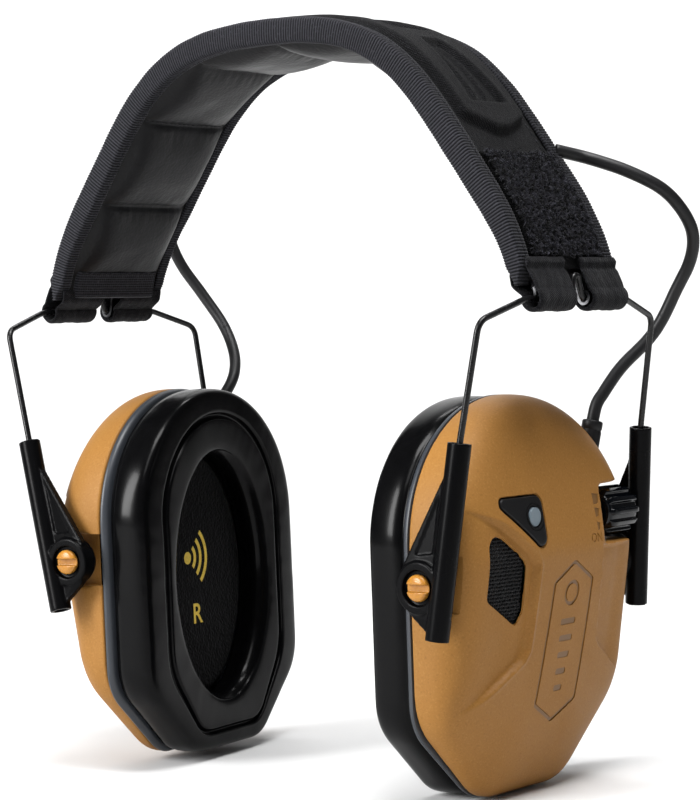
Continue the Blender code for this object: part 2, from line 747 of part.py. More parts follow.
def make_cushion(side, cup):
    """The ear cushion: a flat grooved face and an oval opening that rolls inward."""
    outer = [(RING_N - GAP, 3.4), (-11.6, 1.4), (-15.0, 0.8), (-19.0, 1.7), (-21.6, 3.0), (FACE_N, 4.6),
             (FACE_N, 10.4), (FACE_N + 1.4, 10.9), (FACE_N + 1.4, 12.2), (FACE_N + 0.1, 12.8)]
    rings = [matched_oval(RING_N - GAP, 26.5, 39.0, -8.3)]
    rings += [[Vector((n, u, w)) for u, w in cup_outline(inset)] for n, inset in outer]
    rings += [matched_oval(-22.0, 25.0, 37.4, -8.3), matched_oval(-19.6, 23.0, 36.0, -8.3),
              matched_oval(-15.0, 24.6, 37.6, -8.3)]
    return cup_solid(loft(rings, closed=True), side + "_ear_cushion", "black_gloss", cup)


def make_cup_insides(side, cup):
    """Foam liner, baffle and speaker."""
    liner = loft([oval(n, 24.0, 36.4, -8.3, 28) for n in (-12.6, RIM_N - 0.4)])
    cup_solid(liner, side + "_foam_liner", "foam", cup)
    baffle = loft([[Vector((n, u, w)) for u, w in scaled_outline(0.925)] for n in (RIM_N + GAP, RIM_N + 1.8)])
    plate = cup_solid(baffle, side + "_baffle", "black_satin", cup)
    opening = cup_solid(rod((-12, 0, -8), (0, 0, -8), 11.0, 18), side + "_baffle_hole", "foam", cup)
    boolean(plate, opening, "DIFFERENCE")
    speaker = turned((RIM_N + 2.1, 0, -8), (1, 0, 0), [(0, 15.0), (3.0, 15.0), (3.0, 9.0), (5.6, 9.0)], 20)
    cup_solid(speaker, side + "_speaker", "steel", cup)
    microphone = rod((5.0, -23.5, -5.2), (8.6, -23.5, -5.2), 2.9, 14)
    cup_solid(microphone, side + "_microphone", "steel", cup)
    cup_solid(dome_plate(WINDOW, 1.9, 1.0, 3), side + "_mic_mesh", "black_fabric", cup)


def make_relief(side, cup):
    """The short rubber strain relief that the cable leaves the cup through."""
    length = (RELIEF_TOP - RELIEF_BASE).length
    bm = turned(RELIEF_BASE, RELIEF_TOP - RELIEF_BASE, [(0, 3.0), (length - 0.5, 3.0), (length, 2.7)], 14)
    cup_solid(bm, side + "_strain_relief", "black_rubber", cup)


def make_bezel(side, cup):
    """The triangular trim piece; the left one holds the mode button."""
    bezel = cup_solid(dome_plate(BEZEL, 2.4, -0.4), side + "_bezel", "black_satin", cup)
    if side == "left":
        u, w = BUTTON_CENTRE
        surface = dome_at(u, w)
        hole = cup_solid(rod((surface - 6, u, w), (surface + 4, u, w), BUTTON_RADIUS + GAP, 16), "button_hole",
                         "foam", cup)
        boolean(bezel, hole, "DIFFERENCE")
        button = turned((surface - 2.6, u, w), (1, 0, 0),
                        [(0, BUTTON_RADIUS), (2.9, BUTTON_RADIUS), (3.2, BUTTON_RADIUS - 0.4)], 16)
        cup_solid(button, "mode_button", "button_grey", cup)


def make_studs(side, cup):
    """The slotted studs that join cup and arms."""
    for end, label in ((-1, "_front_stud"), (1, "_rear_stud")):
        start = 38.4
        profile = [(0, 2.3), (9.9, 2.3), (9.9, 3.7), (10.9, 3.7), (11.6, 2.7), (11.9, 1.2)]
        stud = cup_solid(turned((0, end * start, 0), (0, end, 0), profile, 16), side + label, "orange_stud", cup)
        low = (-5.0, min(end * 49.3, end * 52), -0.55)
        high = (5.0, max(end * 49.3, end * 52), 0.55)
        boolean(stud, cup_solid(box(low, high), side + label + "_slot", "foam", cup), "DIFFERENCE")


def make_volume_control(cup):
    """The ribbed knob in the left cup's rear pocket, and its potentiometer."""
    n, w = KNOB_CENTRE
    rings = []
    for along, radius, depth in ((19.6, 2.9, 0), (25.6, 2.9, 0), (25.6, KNOB_RADIUS - 0.4, 0.0),
                                 (26.4, KNOB_RADIUS, 0.75), (39.6, KNOB_RADIUS, 0.75), (40.6, 5.2, 0.5)):
        ring = []
        for k in range(24):
            angle = math.radians(15 * k)
            reach = radius - (depth if k % 2 else 0)
            ring.append(Vector((n + reach * math.sin(angle), along, w + reach * math.cos(angle))))
        rings.append(ring)
    cup_solid(loft(rings), "volume_knob", "black_gloss", cup, 25.0)
    pot = box((n - 5.5, 9.0, w - 6.0), (n + 4.5, 19.2, w + 6.0))
    cup_solid(pot, "potentiometer", "steel", cup)
    board = box((1.2, -19.0, -35.0), (2.8, 7.5, 2.0))
    cup_solid(board, "circuit_board", "green_board", cup)


def make_battery_box(cup):
    """Two cells behind a door in the right cup's outer face."""
    for name, w in (("battery_lower", 4.6), ("battery_upper", 15.4)):
        cup_solid(rod((4.8, -19.0, w), (4.8, 25.2, w), 5.15, 14), name, "steel", cup)
    cup_solid(dome_plate(DOOR, 1.8, 0.0, 4), "battery_door", "tan_shell", cup)


def make_cup(side, cup):
    """Every piece that tilts with one cup."""
    make_shell(side, cup)
    make_seat_ring(side, cup)
    make_cushion(side, cup)
    make_cup_insides(side, cup)
    make_relief(side, cup)
    make_bezel(side, cup)
    make_studs(side, cup)


# ---------------------------------------------------------------- cables

def relief_exit(cup):
    """Where the cable leaves the strain relief, and the direction it leaves in."""
    matrix = cup_matrix(cup)
    top = RELIEF_TOP.copy()
    axis = (RELIEF_TOP - RELIEF_BASE).normalized()
    top = top + axis * CABLE_GAP
    ahead = top + axis * 3.0
    result = []
    for point in (top, ahead):
        local = Vector((point.x * cup["sign"], point.y, point.z)) * MM
        world = matrix @ local / MM
        result.append(Vector((world.x, world.y, world.z - LOOP_HEIGHT)))
    return result


def make_cables(side, cup):
    """Three end-to-end lengths of cable, so that each can bend with one joint."""
    start, ahead = relief_exit(cup)
    end = Vector((CABLE_END[0] * cup["sign"], CABLE_END[1], CABLE_END[2]))
    route = smooth_route([start, ahead] + CABLE_ROUTES[side] + [end], 4.0)
    count = len(route) - 1
    cuts = [0, round(count / 3), round(2 * count / 3), count]
    for label, a, b in zip(("_cup_cable", "_arm_cable", "_band_cable"), cuts, cuts[1:]):
        points = [p.copy() for p in route[a:b + 1]]
        if b < count:
            points[-1] = points[-1].lerp(points[-2], CABLE_GAP / (points[-1] - points[-2]).length)
        wire_object(side + label, points, CABLE_RADIUS, "black_rubber")


# ---------------------------------------------------------------- whole object

def build():
    """Make every piece."""
    clear_scene()
    make_headband()
    for side, cup in CUPS.items():
        make_bail(side, cup)
        make_arm(side, cup, -1)
        make_arm(side, cup, 1)
        make_cup(side, cup)
        make_cables(side, cup)
    make_volume_control(CUPS["left"])
    make_battery_box(CUPS["right"])


build()
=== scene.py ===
"""Looks of the electronic earmuffs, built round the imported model.

Lengths here are in millimetres, measured from the middle of the two loops that carry the
bails: +X is the wearer's left, -Y the front, +Z up. A cup's own frame is (n, u, w):
outward from the head, to the rear and up, from the middle of its pivot line.
"""

import math

import bmesh
import bpy
import numpy as np
from mathutils import Matrix, Vector


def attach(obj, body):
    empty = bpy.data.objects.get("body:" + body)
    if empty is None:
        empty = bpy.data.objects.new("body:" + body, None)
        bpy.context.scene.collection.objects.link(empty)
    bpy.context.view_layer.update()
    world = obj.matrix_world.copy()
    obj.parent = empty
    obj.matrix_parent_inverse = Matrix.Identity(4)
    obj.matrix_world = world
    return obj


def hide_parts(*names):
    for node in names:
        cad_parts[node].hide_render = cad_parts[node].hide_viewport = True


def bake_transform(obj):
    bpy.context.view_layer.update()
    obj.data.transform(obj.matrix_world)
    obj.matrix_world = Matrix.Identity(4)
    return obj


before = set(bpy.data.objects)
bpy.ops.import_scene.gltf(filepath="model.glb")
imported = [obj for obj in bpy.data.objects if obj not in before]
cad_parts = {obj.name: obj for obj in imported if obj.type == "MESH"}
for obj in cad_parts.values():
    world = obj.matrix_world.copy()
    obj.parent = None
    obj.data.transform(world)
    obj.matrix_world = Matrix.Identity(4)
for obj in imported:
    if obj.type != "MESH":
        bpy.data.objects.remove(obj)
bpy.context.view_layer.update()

MM = 0.001
LOOP_HEIGHT = 134.91
X_AXIS, Y_AXIS, Z_AXIS = np.eye(3)

# ---------------------------------------------------------------- dimensions
BAND_HARMONICS = (82.9, 1.63, 1.47, 1.91)
LOOP_X = 89.0
WIRE_RADIUS = 0.875
BEND_Y = 42.0
BEND_DROP = 5.6
ENTRY_Y = 23.5
TUBE_RADIUS = 3.15
TUBE_TOP = 38.5
TUBE_BOTTOM = -13.0
TUBE_OFFSET = 6.7
PIVOT_HALF_SPAN = 47.1
SPLAY = 0.0865
WIRE_IN_TUBE = 19.0

CUP_HALF_WIDTH = 42.6
CUP_TOP = 48.5
CUP_SHOULDER = 9.0
CUP_CHAMFER = -37.0
CUP_BOTTOM = -60.5
CUP_BOTTOM_HALF = 18.0
CUP_MIDDLE = -4.0
RIM_N = -7.4
DOME_N = 16.0
DOME_POWER = 3.5
WALL = 2.2
RING_N = -9.9
EAR_MIDDLE = -8.3
FOAM_HALF = (24.0, 36.4)

CUPS = {
    "left": {"sign": 1, "pivot": (70.6, 0.0, -74.3), "toe": 0.0, "lean": 0.9,
             "front_slope": 0.105, "rear_slope": 0.105, "front_bend_x": 86.8, "rear_bend_x": 86.8},
    "right": {"sign": -1, "pivot": (-64.5, 0.0, -73.0), "toe": 8.5, "lean": -1.5,
              "front_slope": 0.32, "rear_slope": 0.10, "front_bend_x": 85.7, "rear_bend_x": 86.8},
}

CABLE_RADIUS = 1.8
CABLE_OVERLAP = 0.3
CABLE_ROUTES = {
    "left": [(73.0, 36.8, -27.5), (76.3, 41.9, -19.8), (81.6, 47.6, -12.4), (85.2, 49.8, -6.6), (89.4, 51.0, 1.8),
             (94.9, 50.4, 11.0), (97.2, 46.6, 19.6), (94.0, 39.8, 28.8), (86.6, 33.4, 34.6), (77.4, 28.6, 38.6)],
    "right": [(-71.6, 37.6, -28.2), (-71.4, 43.0, -22.2), (-75.9, 49.0, -14.8), (-82.7, 51.9, -5.5),
              (-90.0, 50.0, 5.0), (-95.6, 45.6, 15.6), (-95.2, 40.0, 25.6), (-88.4, 34.4, 33.4), (-78.2, 28.9, 38.4)],
}
CABLE_END = (70.2, 25.0, 41.0)

CHANNEL_FLOOR = 40.4
CHANNEL_END = 50.0
CHANNEL_HALF = 7.6
CHANNEL_TOP = 24.0
POCKET_LOW = (-3.2, 24.6, 6.3)
POCKET_HIGH = (40.0, 60.0, 22.6)
RELIEF_BASE = Vector((0.3, 31.4, 27.5))
RELIEF_TOP = Vector((1.6, 34.0, 39.7))
WINDOW = [(-32.6, 9.6), (-30.8, 11.9), (-27.8, 11.6), (-19.4, 4.3), (-18.2, -8.6), (-20.2, -12.4), (-32.5, -4.8)]
BEZEL = [(-27.2, 21.6), (-12.8, 21.8), (-11.6, 20.2), (-12.0, 9.4), (-14.8, 8.0), (-27.8, 19.4)]
BUTTON_CENTRE = (-15.6, 16.2)
BUTTON_RADIUS = 2.6
DOOR = [(-9.8, 22.4), (22.0, 22.4), (22.0, -1.4), (-9.8, -1.4)]
KNOB_CENTRE = (5.6, 14.3)
HEX_PLATE = [(1.4, 3.6), (11.6, -2.2), (11.8, -36.0), (1.4, -41.3), (-8.6, -35.8), (-7.8, -1.8)]


# ---------------------------------------------------------------- placing
def to_world(points):
    """Turn points from the loop frame in millimetres into world metres."""
    p = np.asarray(points, float).reshape(-1, 3)
    return (p + (0.0, 0.0, LOOP_HEIGHT)) * MM


def cup_axes(cup):
    """The cup frame's axes as columns: outward, rear, up."""
    turn = Matrix.Rotation(math.radians(cup["toe"]), 3, "Z")
    tilt = Matrix.Rotation(-cup["sign"] * math.radians(cup["lean"]), 3, "Y")
    axes = np.array(turn @ tilt)
    axes[:, 0] *= cup["sign"]
    return axes


def cup_points(cup, points):
    """Turn (n, u, w) points into the loop frame."""
    p = np.asarray(points, float).reshape(-1, 3)
    return p @ cup_axes(cup).T + np.array(cup["pivot"])


# ---------------------------------------------------------------- meshes
def coordinates(mesh):
    """A mesh's vertices as rows of an array."""
    co = np.zeros(len(mesh.vertices) * 3)
    mesh.vertices.foreach_get("co", co)
    return co.reshape(-1, 3)


def move_vertices(mesh, points):
    """Write rows of an array back as a mesh's vertices."""
    mesh.vertices.foreach_set("co", np.asarray(points).ravel())
    mesh.update()


def linked(name, data):
    """A new object in the scene."""
    item = bpy.data.objects.new(name, data)
    bpy.context.scene.collection.objects.link(item)
    return item


def set_material(item, key, sharp=None):
    """Give a piece one material, and smooth shading up to an angle in degrees if asked."""
    item.data.materials.clear()
    item.data.materials.append(MATS[key])
    if sharp:
        item.data.shade_smooth()
        item.data.set_sharp_from_angle(angle=math.radians(sharp))
    return item


def unit(vector):
    """A vector of length 1."""
    return vector / np.linalg.norm(vector)


def turns(count):
    """Even angles round a circle."""
    return np.linspace(0, 2 * math.pi, count, endpoint=False)


def travel(points):
    """The distance from the first point of a polyline to each of its points."""
    return np.concatenate([[0], np.cumsum(np.linalg.norm(np.diff(points, axis=0), axis=1))])


def new_object(name, verts, faces, mat=None, smooth=True, flip=False):
    """Make a mesh object from world-metre vertices."""
    if flip:
        faces = [tuple(reversed(f)) for f in faces]
    mesh = bpy.data.meshes.new(name)
    mesh.from_pydata([tuple(v) for v in verts], [], [tuple(int(i) for i in f) for f in faces])
    mesh.update()
    if mat:
        mesh.materials.append(mat)
    if smooth:
        mesh.shade_smooth()
    return linked(name, mesh)


def finish_piece(item, body, slot, *replaced):
    """Attach a finished piece to its body and hide the imported parts it replaces; the slot is not used."""
    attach(item, body)
    if replaced:
        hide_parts(*replaced)
    return item


def ring_faces(rows, cols, closed_rows=False, caps=True):
    """Faces for a stack of closed rings."""
    faces = []
    last = rows if closed_rows else rows - 1
    for r in range(last):
        a, b = r * cols, ((r + 1) % rows) * cols
        for c in range(cols):
            d = (c + 1) % cols
            faces.append((a + c, a + d, b + d, b + c))
    if caps and not closed_rows:
        faces.append(tuple(range(cols - 1, -1, -1)))
        faces.append(tuple((rows - 1) * cols + c for c in range(cols)))
    return faces


def grid_faces(rows, cols):
    """Faces for an open grid."""
    faces = []
    for r in range(rows - 1):
        for c in range(cols - 1):
            a = r * cols + c
            faces.append((a, a + 1, a + cols + 1, a + cols))
    return faces


def outward(item):
    """Make the faces of a closed mesh point outward."""
    bm = bmesh.new()
    bm.from_mesh(item.data)
    bmesh.ops.recalc_face_normals(bm, faces=bm.faces)
    bm.to_mesh(item.data)
    bm.free()
    return item


def offset_faces(start, faces):
    """Faces whose vertices start later in a list."""
    return [tuple(start + i for i in f) for f in faces]


def tube_mesh(name, path, radius, mat, sides=20, cap=0.35):
    """A round tube along a path in the loop frame, with eased ends."""
    path = np.asarray(path, float)
    tangents = np.gradient(path, axis=0)
    tangents /= np.linalg.norm(tangents, axis=1)[:, None]
    side = np.cross(tangents[0], (0.0, 0.0, 1.0))
    if np.linalg.norm(side) < 0.1:
        side = np.cross(tangents[0], (1.0, 0.0, 0.0))
    frames = []
    for t in tangents:
        side = unit(side - t * (side @ t))
        frames.append((side, np.cross(t, side)))
    angles = turns(sides)
    rows = []
    for reach in (radius * 0.2, radius * 0.75, radius - cap * 0.5):
        rows.append(circle_row(path[0], frames[0], reach, angles))
    rows += [circle_row(point, pair, radius, angles) for point, pair in zip(path, frames)]
    rows[3] = circle_row(path[0] + tangents[0] * cap * 0.5, frames[0], radius, angles)
    rows[-1] = circle_row(path[-1] - tangents[-1] * cap * 0.5, frames[-1], radius, angles)
    for reach in (radius - cap * 0.5, radius * 0.75, radius * 0.2):
        rows.append(circle_row(path[-1], frames[-1], reach, angles))
    return outward(new_object(name, to_world(np.concatenate(rows)), ring_faces(len(rows), sides), mat))


def circle_row(centre, pair, radius, angles):
    """Points round a circle in the plane of a pair of axes."""
    return centre + radius * (np.cos(angles)[:, None] * pair[0] + np.sin(angles)[:, None] * pair[1])


def applied(item):
    """Bake an object's modifiers into its mesh."""
    depsgraph = bpy.context.evaluated_depsgraph_get()
    depsgraph.update()
    mesh = bpy.data.meshes.new_from_object(item.evaluated_get(depsgraph))
    item.modifiers.clear()
    old = item.data
    item.data = mesh
    bpy.data.meshes.remove(old)
    return item


def drop(*items):
    """Remove helper objects."""
    for item in items:
        bpy.data.objects.remove(item, do_unlink=True)


def cut(item, tools, operation="DIFFERENCE"):
    """Apply Booleans one after another and remove the tools."""
    for tool in tools:
        step = item.modifiers.new("cut", "BOOLEAN")
        step.operation = operation
        step.solver = "MANIFOLD"
        step.object = tool
    applied(item)
    drop(*tools)
    return item


def remesh(item, size, smoothing):
    """Round every edge a little: voxel remesh, then smooth."""
    step = item.modifiers.new("remesh", "REMESH")
    step.mode = "VOXEL"
    step.voxel_size = size * MM
    step = item.modifiers.new("smooth", "SMOOTH")
    step.factor = 0.5
    step.iterations = smoothing
    applied(item)
    item.data.shade_smooth()
    return item


def smooth_route(points, spacing):
    """Points at even spacing along a Catmull-Rom curve through the given ones."""
    knots = [np.array(p, float) for p in points]
    knots = [knots[0] * 2 - knots[1]] + knots + [knots[-1] * 2 - knots[-2]]
    fine = []
    for a, b, c, d in zip(knots, knots[1:], knots[2:], knots[3:]):
        for k in range(24):
            t = k / 24
            fine.append(0.5 * ((2 * b) + (c - a) * t + (2 * a - 5 * b + 4 * c - d) * t * t
                               + (3 * b - a - 3 * c + d) * t ** 3))
    fine.append(knots[-2])
    return resample(np.array(fine), spacing)


def resample(points, spacing, closed=False):
    """Even spacing along a polyline."""
    points = np.asarray(points, float)
    if closed:
        points = np.vstack([points, points[:1]])
    along = travel(points)
    count = max(2, int(round(along[-1] / spacing)))
    wanted = np.linspace(0, along[-1], count + 1)
    result = np.stack([np.interp(wanted, along, points[:, k]) for k in range(points.shape[1])], axis=1)
    return result[:-1] if closed else result


def fillet(before, corner, after, reach, steps):
    """A smooth curve in place of one corner, from a reach before it to a reach after it."""
    start = corner + (before - corner) / np.linalg.norm(before - corner) * reach
    end = corner + (after - corner) / np.linalg.norm(after - corner) * reach
    shares = [k / steps for k in range(steps + 1)]
    return [start * (1 - t) ** 2 + corner * 2 * t * (1 - t) + end * t * t for t in shares]


def round_corners(points, radii, steps=8):
    """Replace each inner corner of a polyline with a smooth curve."""
    points = [np.array(p, float) for p in points]
    result = [points[0]]
    for before, corner, after, radius in zip(points, points[1:], points[2:], radii):
        result += fillet(before, corner, after, radius, steps)
    return np.array(result + [points[-1]])


def round_polygon(points, radius, steps=5):
    """A closed polygon with rounded corners."""
    points = [np.array(p, float) for p in points]
    result = []
    for before, corner, after in zip(points[-1:] + points, points, points[1:] + points[:1]):
        reach = min(radius, 0.45 * np.linalg.norm(before - corner), 0.45 * np.linalg.norm(after - corner))
        result += fillet(before, corner, after, reach, steps)
    return np.array(result)


def offset_polygon(points, distance):
    """Move each edge of a closed polygon outward by a distance."""
    points = np.asarray(points, float)
    area = 0.5 * np.sum(points[:, 0] * np.roll(points[:, 1], -1) - np.roll(points[:, 0], -1) * points[:, 1])
    before = points - np.roll(points, 1, axis=0)
    after = np.roll(points, -1, axis=0) - points
    before /= np.linalg.norm(before, axis=1)[:, None]
    after /= np.linalg.norm(after, axis=1)[:, None]
    turn = 1 if area > 0 else -1
    n1 = np.stack([before[:, 1], -before[:, 0]], axis=1) * turn
    n2 = np.stack([after[:, 1], -after[:, 0]], axis=1) * turn
    mitre = n1 + n2
    mitre /= np.maximum(np.sum(mitre * n1, axis=1), 0.35)[:, None]
    return points + mitre * distance


def smoothstep(low, high, value):
    """0 below low, 1 above high and smooth between them."""
    t = np.clip((value - low) / (high - low), 0, 1)
    return t * t * (3 - 2 * t)


def polygon_distance(points, polygon):
    """Distance to a polygon's edge, negative inside it."""
    polygon = np.asarray(polygon, float)
    best = np.full(len(points), 1e9)
    inside = np.zeros(len(points), bool)
    for a, b in zip(polygon, np.roll(polygon, -1, axis=0)):
        edge = b - a
        t = np.clip(((points - a) @ edge) / (edge @ edge), 0, 1)
        best = np.minimum(best, np.linalg.norm(points - (a + t[:, None] * edge), axis=1))
        crosses = (a[1] > points[:, 1]) != (b[1] > points[:, 1])
        with np.errstate(divide="ignore", invalid="ignore"):
            at = a[0] + (points[:, 1] - a[1]) / (b[1] - a[1]) * (b[0] - a[0])
        inside ^= crosses & (points[:, 0] < at)
    return np.where(inside, -best, best)


def wave_noise(points, scale, seed, octaves=3):
    """Cheap smooth noise from a few turned sine waves."""
    rng = np.random.default_rng(seed)
    value = np.zeros(len(points))
    for k in range(octaves):
        for _ in range(5):
            direction = rng.normal(size=points.shape[1])
            direction /= np.linalg.norm(direction)
            rate = 2 * math.pi / scale * (1.7 ** k) * rng.uniform(0.75, 1.3)
            value += np.sin(points @ direction * rate + rng.uniform(0, 6.28)) / (1.6 ** k)
    return value / 6.0


# ---------------------------------------------------------------- materials
class Paint:
    """A Principled material and short ways to add nodes to it."""

    def __init__(self, name, colour, roughness, metallic=0.0, specular=0.5):
        self.mat = bpy.data.materials.new(name)
        self.mat.use_nodes = True
        self.tree = self.mat.node_tree
        self.shader = self.tree.nodes["Principled BSDF"]
        self.shader.inputs["Base Color"].default_value = (*colour, 1.0)
        self.shader.inputs["Roughness"].default_value = roughness
        self.shader.inputs["Metallic"].default_value = metallic
        self.shader.inputs["Specular IOR Level"].default_value = specular
        self.mat.diffuse_color = (*colour, 1.0)
        self.colour = colour
        self.coords = self.tree.nodes.new("ShaderNodeTexCoord")

    def link(self, output, target):
        """Join an output socket to an input socket."""
        self.tree.links.new(output, target)

    def noise(self, size, detail=2.0, stretch=(1, 1, 1), distortion=0.0):
        """Noise with features of a size in millimetres."""
        mapping = self.tree.nodes.new("ShaderNodeMapping")
        mapping.inputs["Scale"].default_value = stretch
        self.link(self.coords.outputs["Object"], mapping.inputs["Vector"])
        node = self.tree.nodes.new("ShaderNodeTexNoise")
        node.inputs["Scale"].default_value = 1.0 / (size * MM)
        node.inputs["Detail"].default_value = detail
        node.inputs["Distortion"].default_value = distortion
        self.link(mapping.outputs["Vector"], node.inputs["Vector"])
        return node.outputs["Fac"]

    def cells(self, size, feature="F1"):
        """Voronoi cells of a size in millimetres."""
        node = self.tree.nodes.new("ShaderNodeTexVoronoi")
        node.feature = feature
        node.inputs["Scale"].default_value = 1.0 / (size * MM)
        self.link(self.coords.outputs["Object"], node.inputs["Vector"])
        return node.outputs["Distance"]

    def bands(self, pitch, direction):
        """Sine bands across a direction of the UV map, with a pitch in millimetres of cloth."""
        dot = self.tree.nodes.new("ShaderNodeVectorMath")
        dot.operation = "DOT_PRODUCT"
        dot.inputs[1].default_value = [d * 2 * math.pi / (pitch * MM) for d in direction]
        self.link(self.coords.outputs["UV"], dot.inputs[0])
        return self.maths("SINE", dot.outputs["Value"])

    def maths(self, operation, a, b=None):
        """A Math node on sockets or numbers."""
        node = self.tree.nodes.new("ShaderNodeMath")
        node.operation = operation
        for socket, value in zip(node.inputs, (a, b)):
            if value is None:
                continue
            if isinstance(value, (int, float)):
                socket.default_value = value
            else:
                self.link(value, socket)
        return node.outputs[0]

    def spread(self, value, low, high, source=(0.3, 0.7)):
        """Map a socket from one range to another."""
        node = self.tree.nodes.new("ShaderNodeMapRange")
        node.inputs["From Min"].default_value = source[0]
        node.inputs["From Max"].default_value = source[1]
        node.inputs["To Min"].default_value = low
        node.inputs["To Max"].default_value = high
        self.link(value, node.inputs["Value"])
        return node.outputs["Result"]

    def tint(self, factor, other):
        """Blend the base colour towards another by a socket."""
        node = self.tree.nodes.new("ShaderNodeMix")
        node.data_type = "RGBA"
        current = self.shader.inputs["Base Color"]
        if current.is_linked:
            self.link(current.links[0].from_socket, node.inputs[6])
        else:
            node.inputs[6].default_value = (*self.colour, 1.0)
        node.inputs[7].default_value = (*other, 1.0)
        self.link(factor, node.inputs[0])
        self.link(node.outputs[2], current)
        return self

    def vary_roughness(self, factor, low, high):
        """Drive the roughness between two values by a noise socket."""
        self.link(self.spread(factor, low, high), self.shader.inputs["Roughness"])
        return self

    def bump(self, height, distance):
        """Stack a bump of a height in millimetres on the surface."""
        node = self.tree.nodes.new("ShaderNodeBump")
        node.inputs["Strength"].default_value = 1.0
        node.inputs["Distance"].default_value = distance * MM
        self.link(height, node.inputs["Height"])
        normal = self.shader.inputs["Normal"]
        if normal.is_linked:
            self.link(normal.links[0].from_socket, node.inputs["Normal"])
        self.link(node.outputs["Normal"], normal)
        return self

    def coat(self, weight, roughness):
        """A clear gloss layer."""
        self.shader.inputs["Coat Weight"].default_value = weight
        self.shader.inputs["Coat Roughness"].default_value = roughness
        return self

    def sheen(self, weight, roughness):
        """Soft fabric sheen."""
        self.shader.inputs["Sheen Weight"].default_value = weight
        self.shader.inputs["Sheen Roughness"].default_value = roughness
        self.shader.inputs["Sheen Tint"].default_value = (1.0, 1.0, 1.0, 1.0)
        return self


def moulded(name, colour, roughness, grain=0.35, depth=0.012, specular=0.5, mottle=0.12):
    """Moulded plastic: a fine etched grain, faint mottling and uneven gloss."""
    paint = Paint(name, colour, roughness, specular=specular)
    fine = paint.noise(grain, 3.0)
    broad = paint.noise(14.0, 2.0)
    paint.tint(paint.spread(broad, 0.0, mottle), tuple(c * 0.72 for c in colour))
    paint.tint(paint.spread(fine, 0.0, mottle * 0.8), tuple(min(1.0, c * 1.35 + 0.004) for c in colour))
    paint.vary_roughness(broad, roughness * 0.88, roughness * 1.1)
    paint.bump(fine, depth)
    return paint


def fabric(name, colour, pitch, depth, roughness=0.92, sheen=0.35, diagonal=False):
    """Woven cloth: warp and weft bands, a painted highlight on the raised threads, thread irregularity and a little
    lint.
    """
    paint = Paint(name, colour, roughness, specular=0.12)
    if diagonal:
        warp = paint.bands(pitch, (0.78, 0.62, 0.0))
        weft = paint.bands(pitch * 2.3, (-0.6, 0.8, 0.0))
    else:
        warp = paint.bands(pitch, (1.0, 0.0, 0.0))
        weft = paint.bands(pitch, (0.0, 1.0, 0.0))
    weave = paint.maths("MULTIPLY", warp, weft)
    if diagonal:
        weave = paint.maths("ADD", paint.maths("MULTIPLY", warp, 0.8), paint.maths("MULTIPLY", weft, 0.2))
    threads = paint.noise(0.5, 3.0)
    broad = paint.noise(9.0, 3.0)
    height = paint.maths("ADD", weave, paint.spread(threads, -0.8, 0.8))
    # Lighter where the weave stands up in the bump: painted highlight on the raised threads.
    paint.tint(paint.spread(weave, 0.0, 0.55, (-1.0, 1.0)), tuple(c * 1.9 + 0.001 for c in colour))
    paint.tint(paint.spread(broad, 0.0, 0.35), tuple(c * 0.55 for c in colour))
    lint = paint.spread(paint.noise(0.7, 2.0), 0.0, 0.7, (0.56, 0.72))
    paint.tint(lint, tuple(c * 4.2 + 0.004 for c in colour))
    paint.bump(height, depth)
    paint.sheen(sheen, 0.45)
    return paint


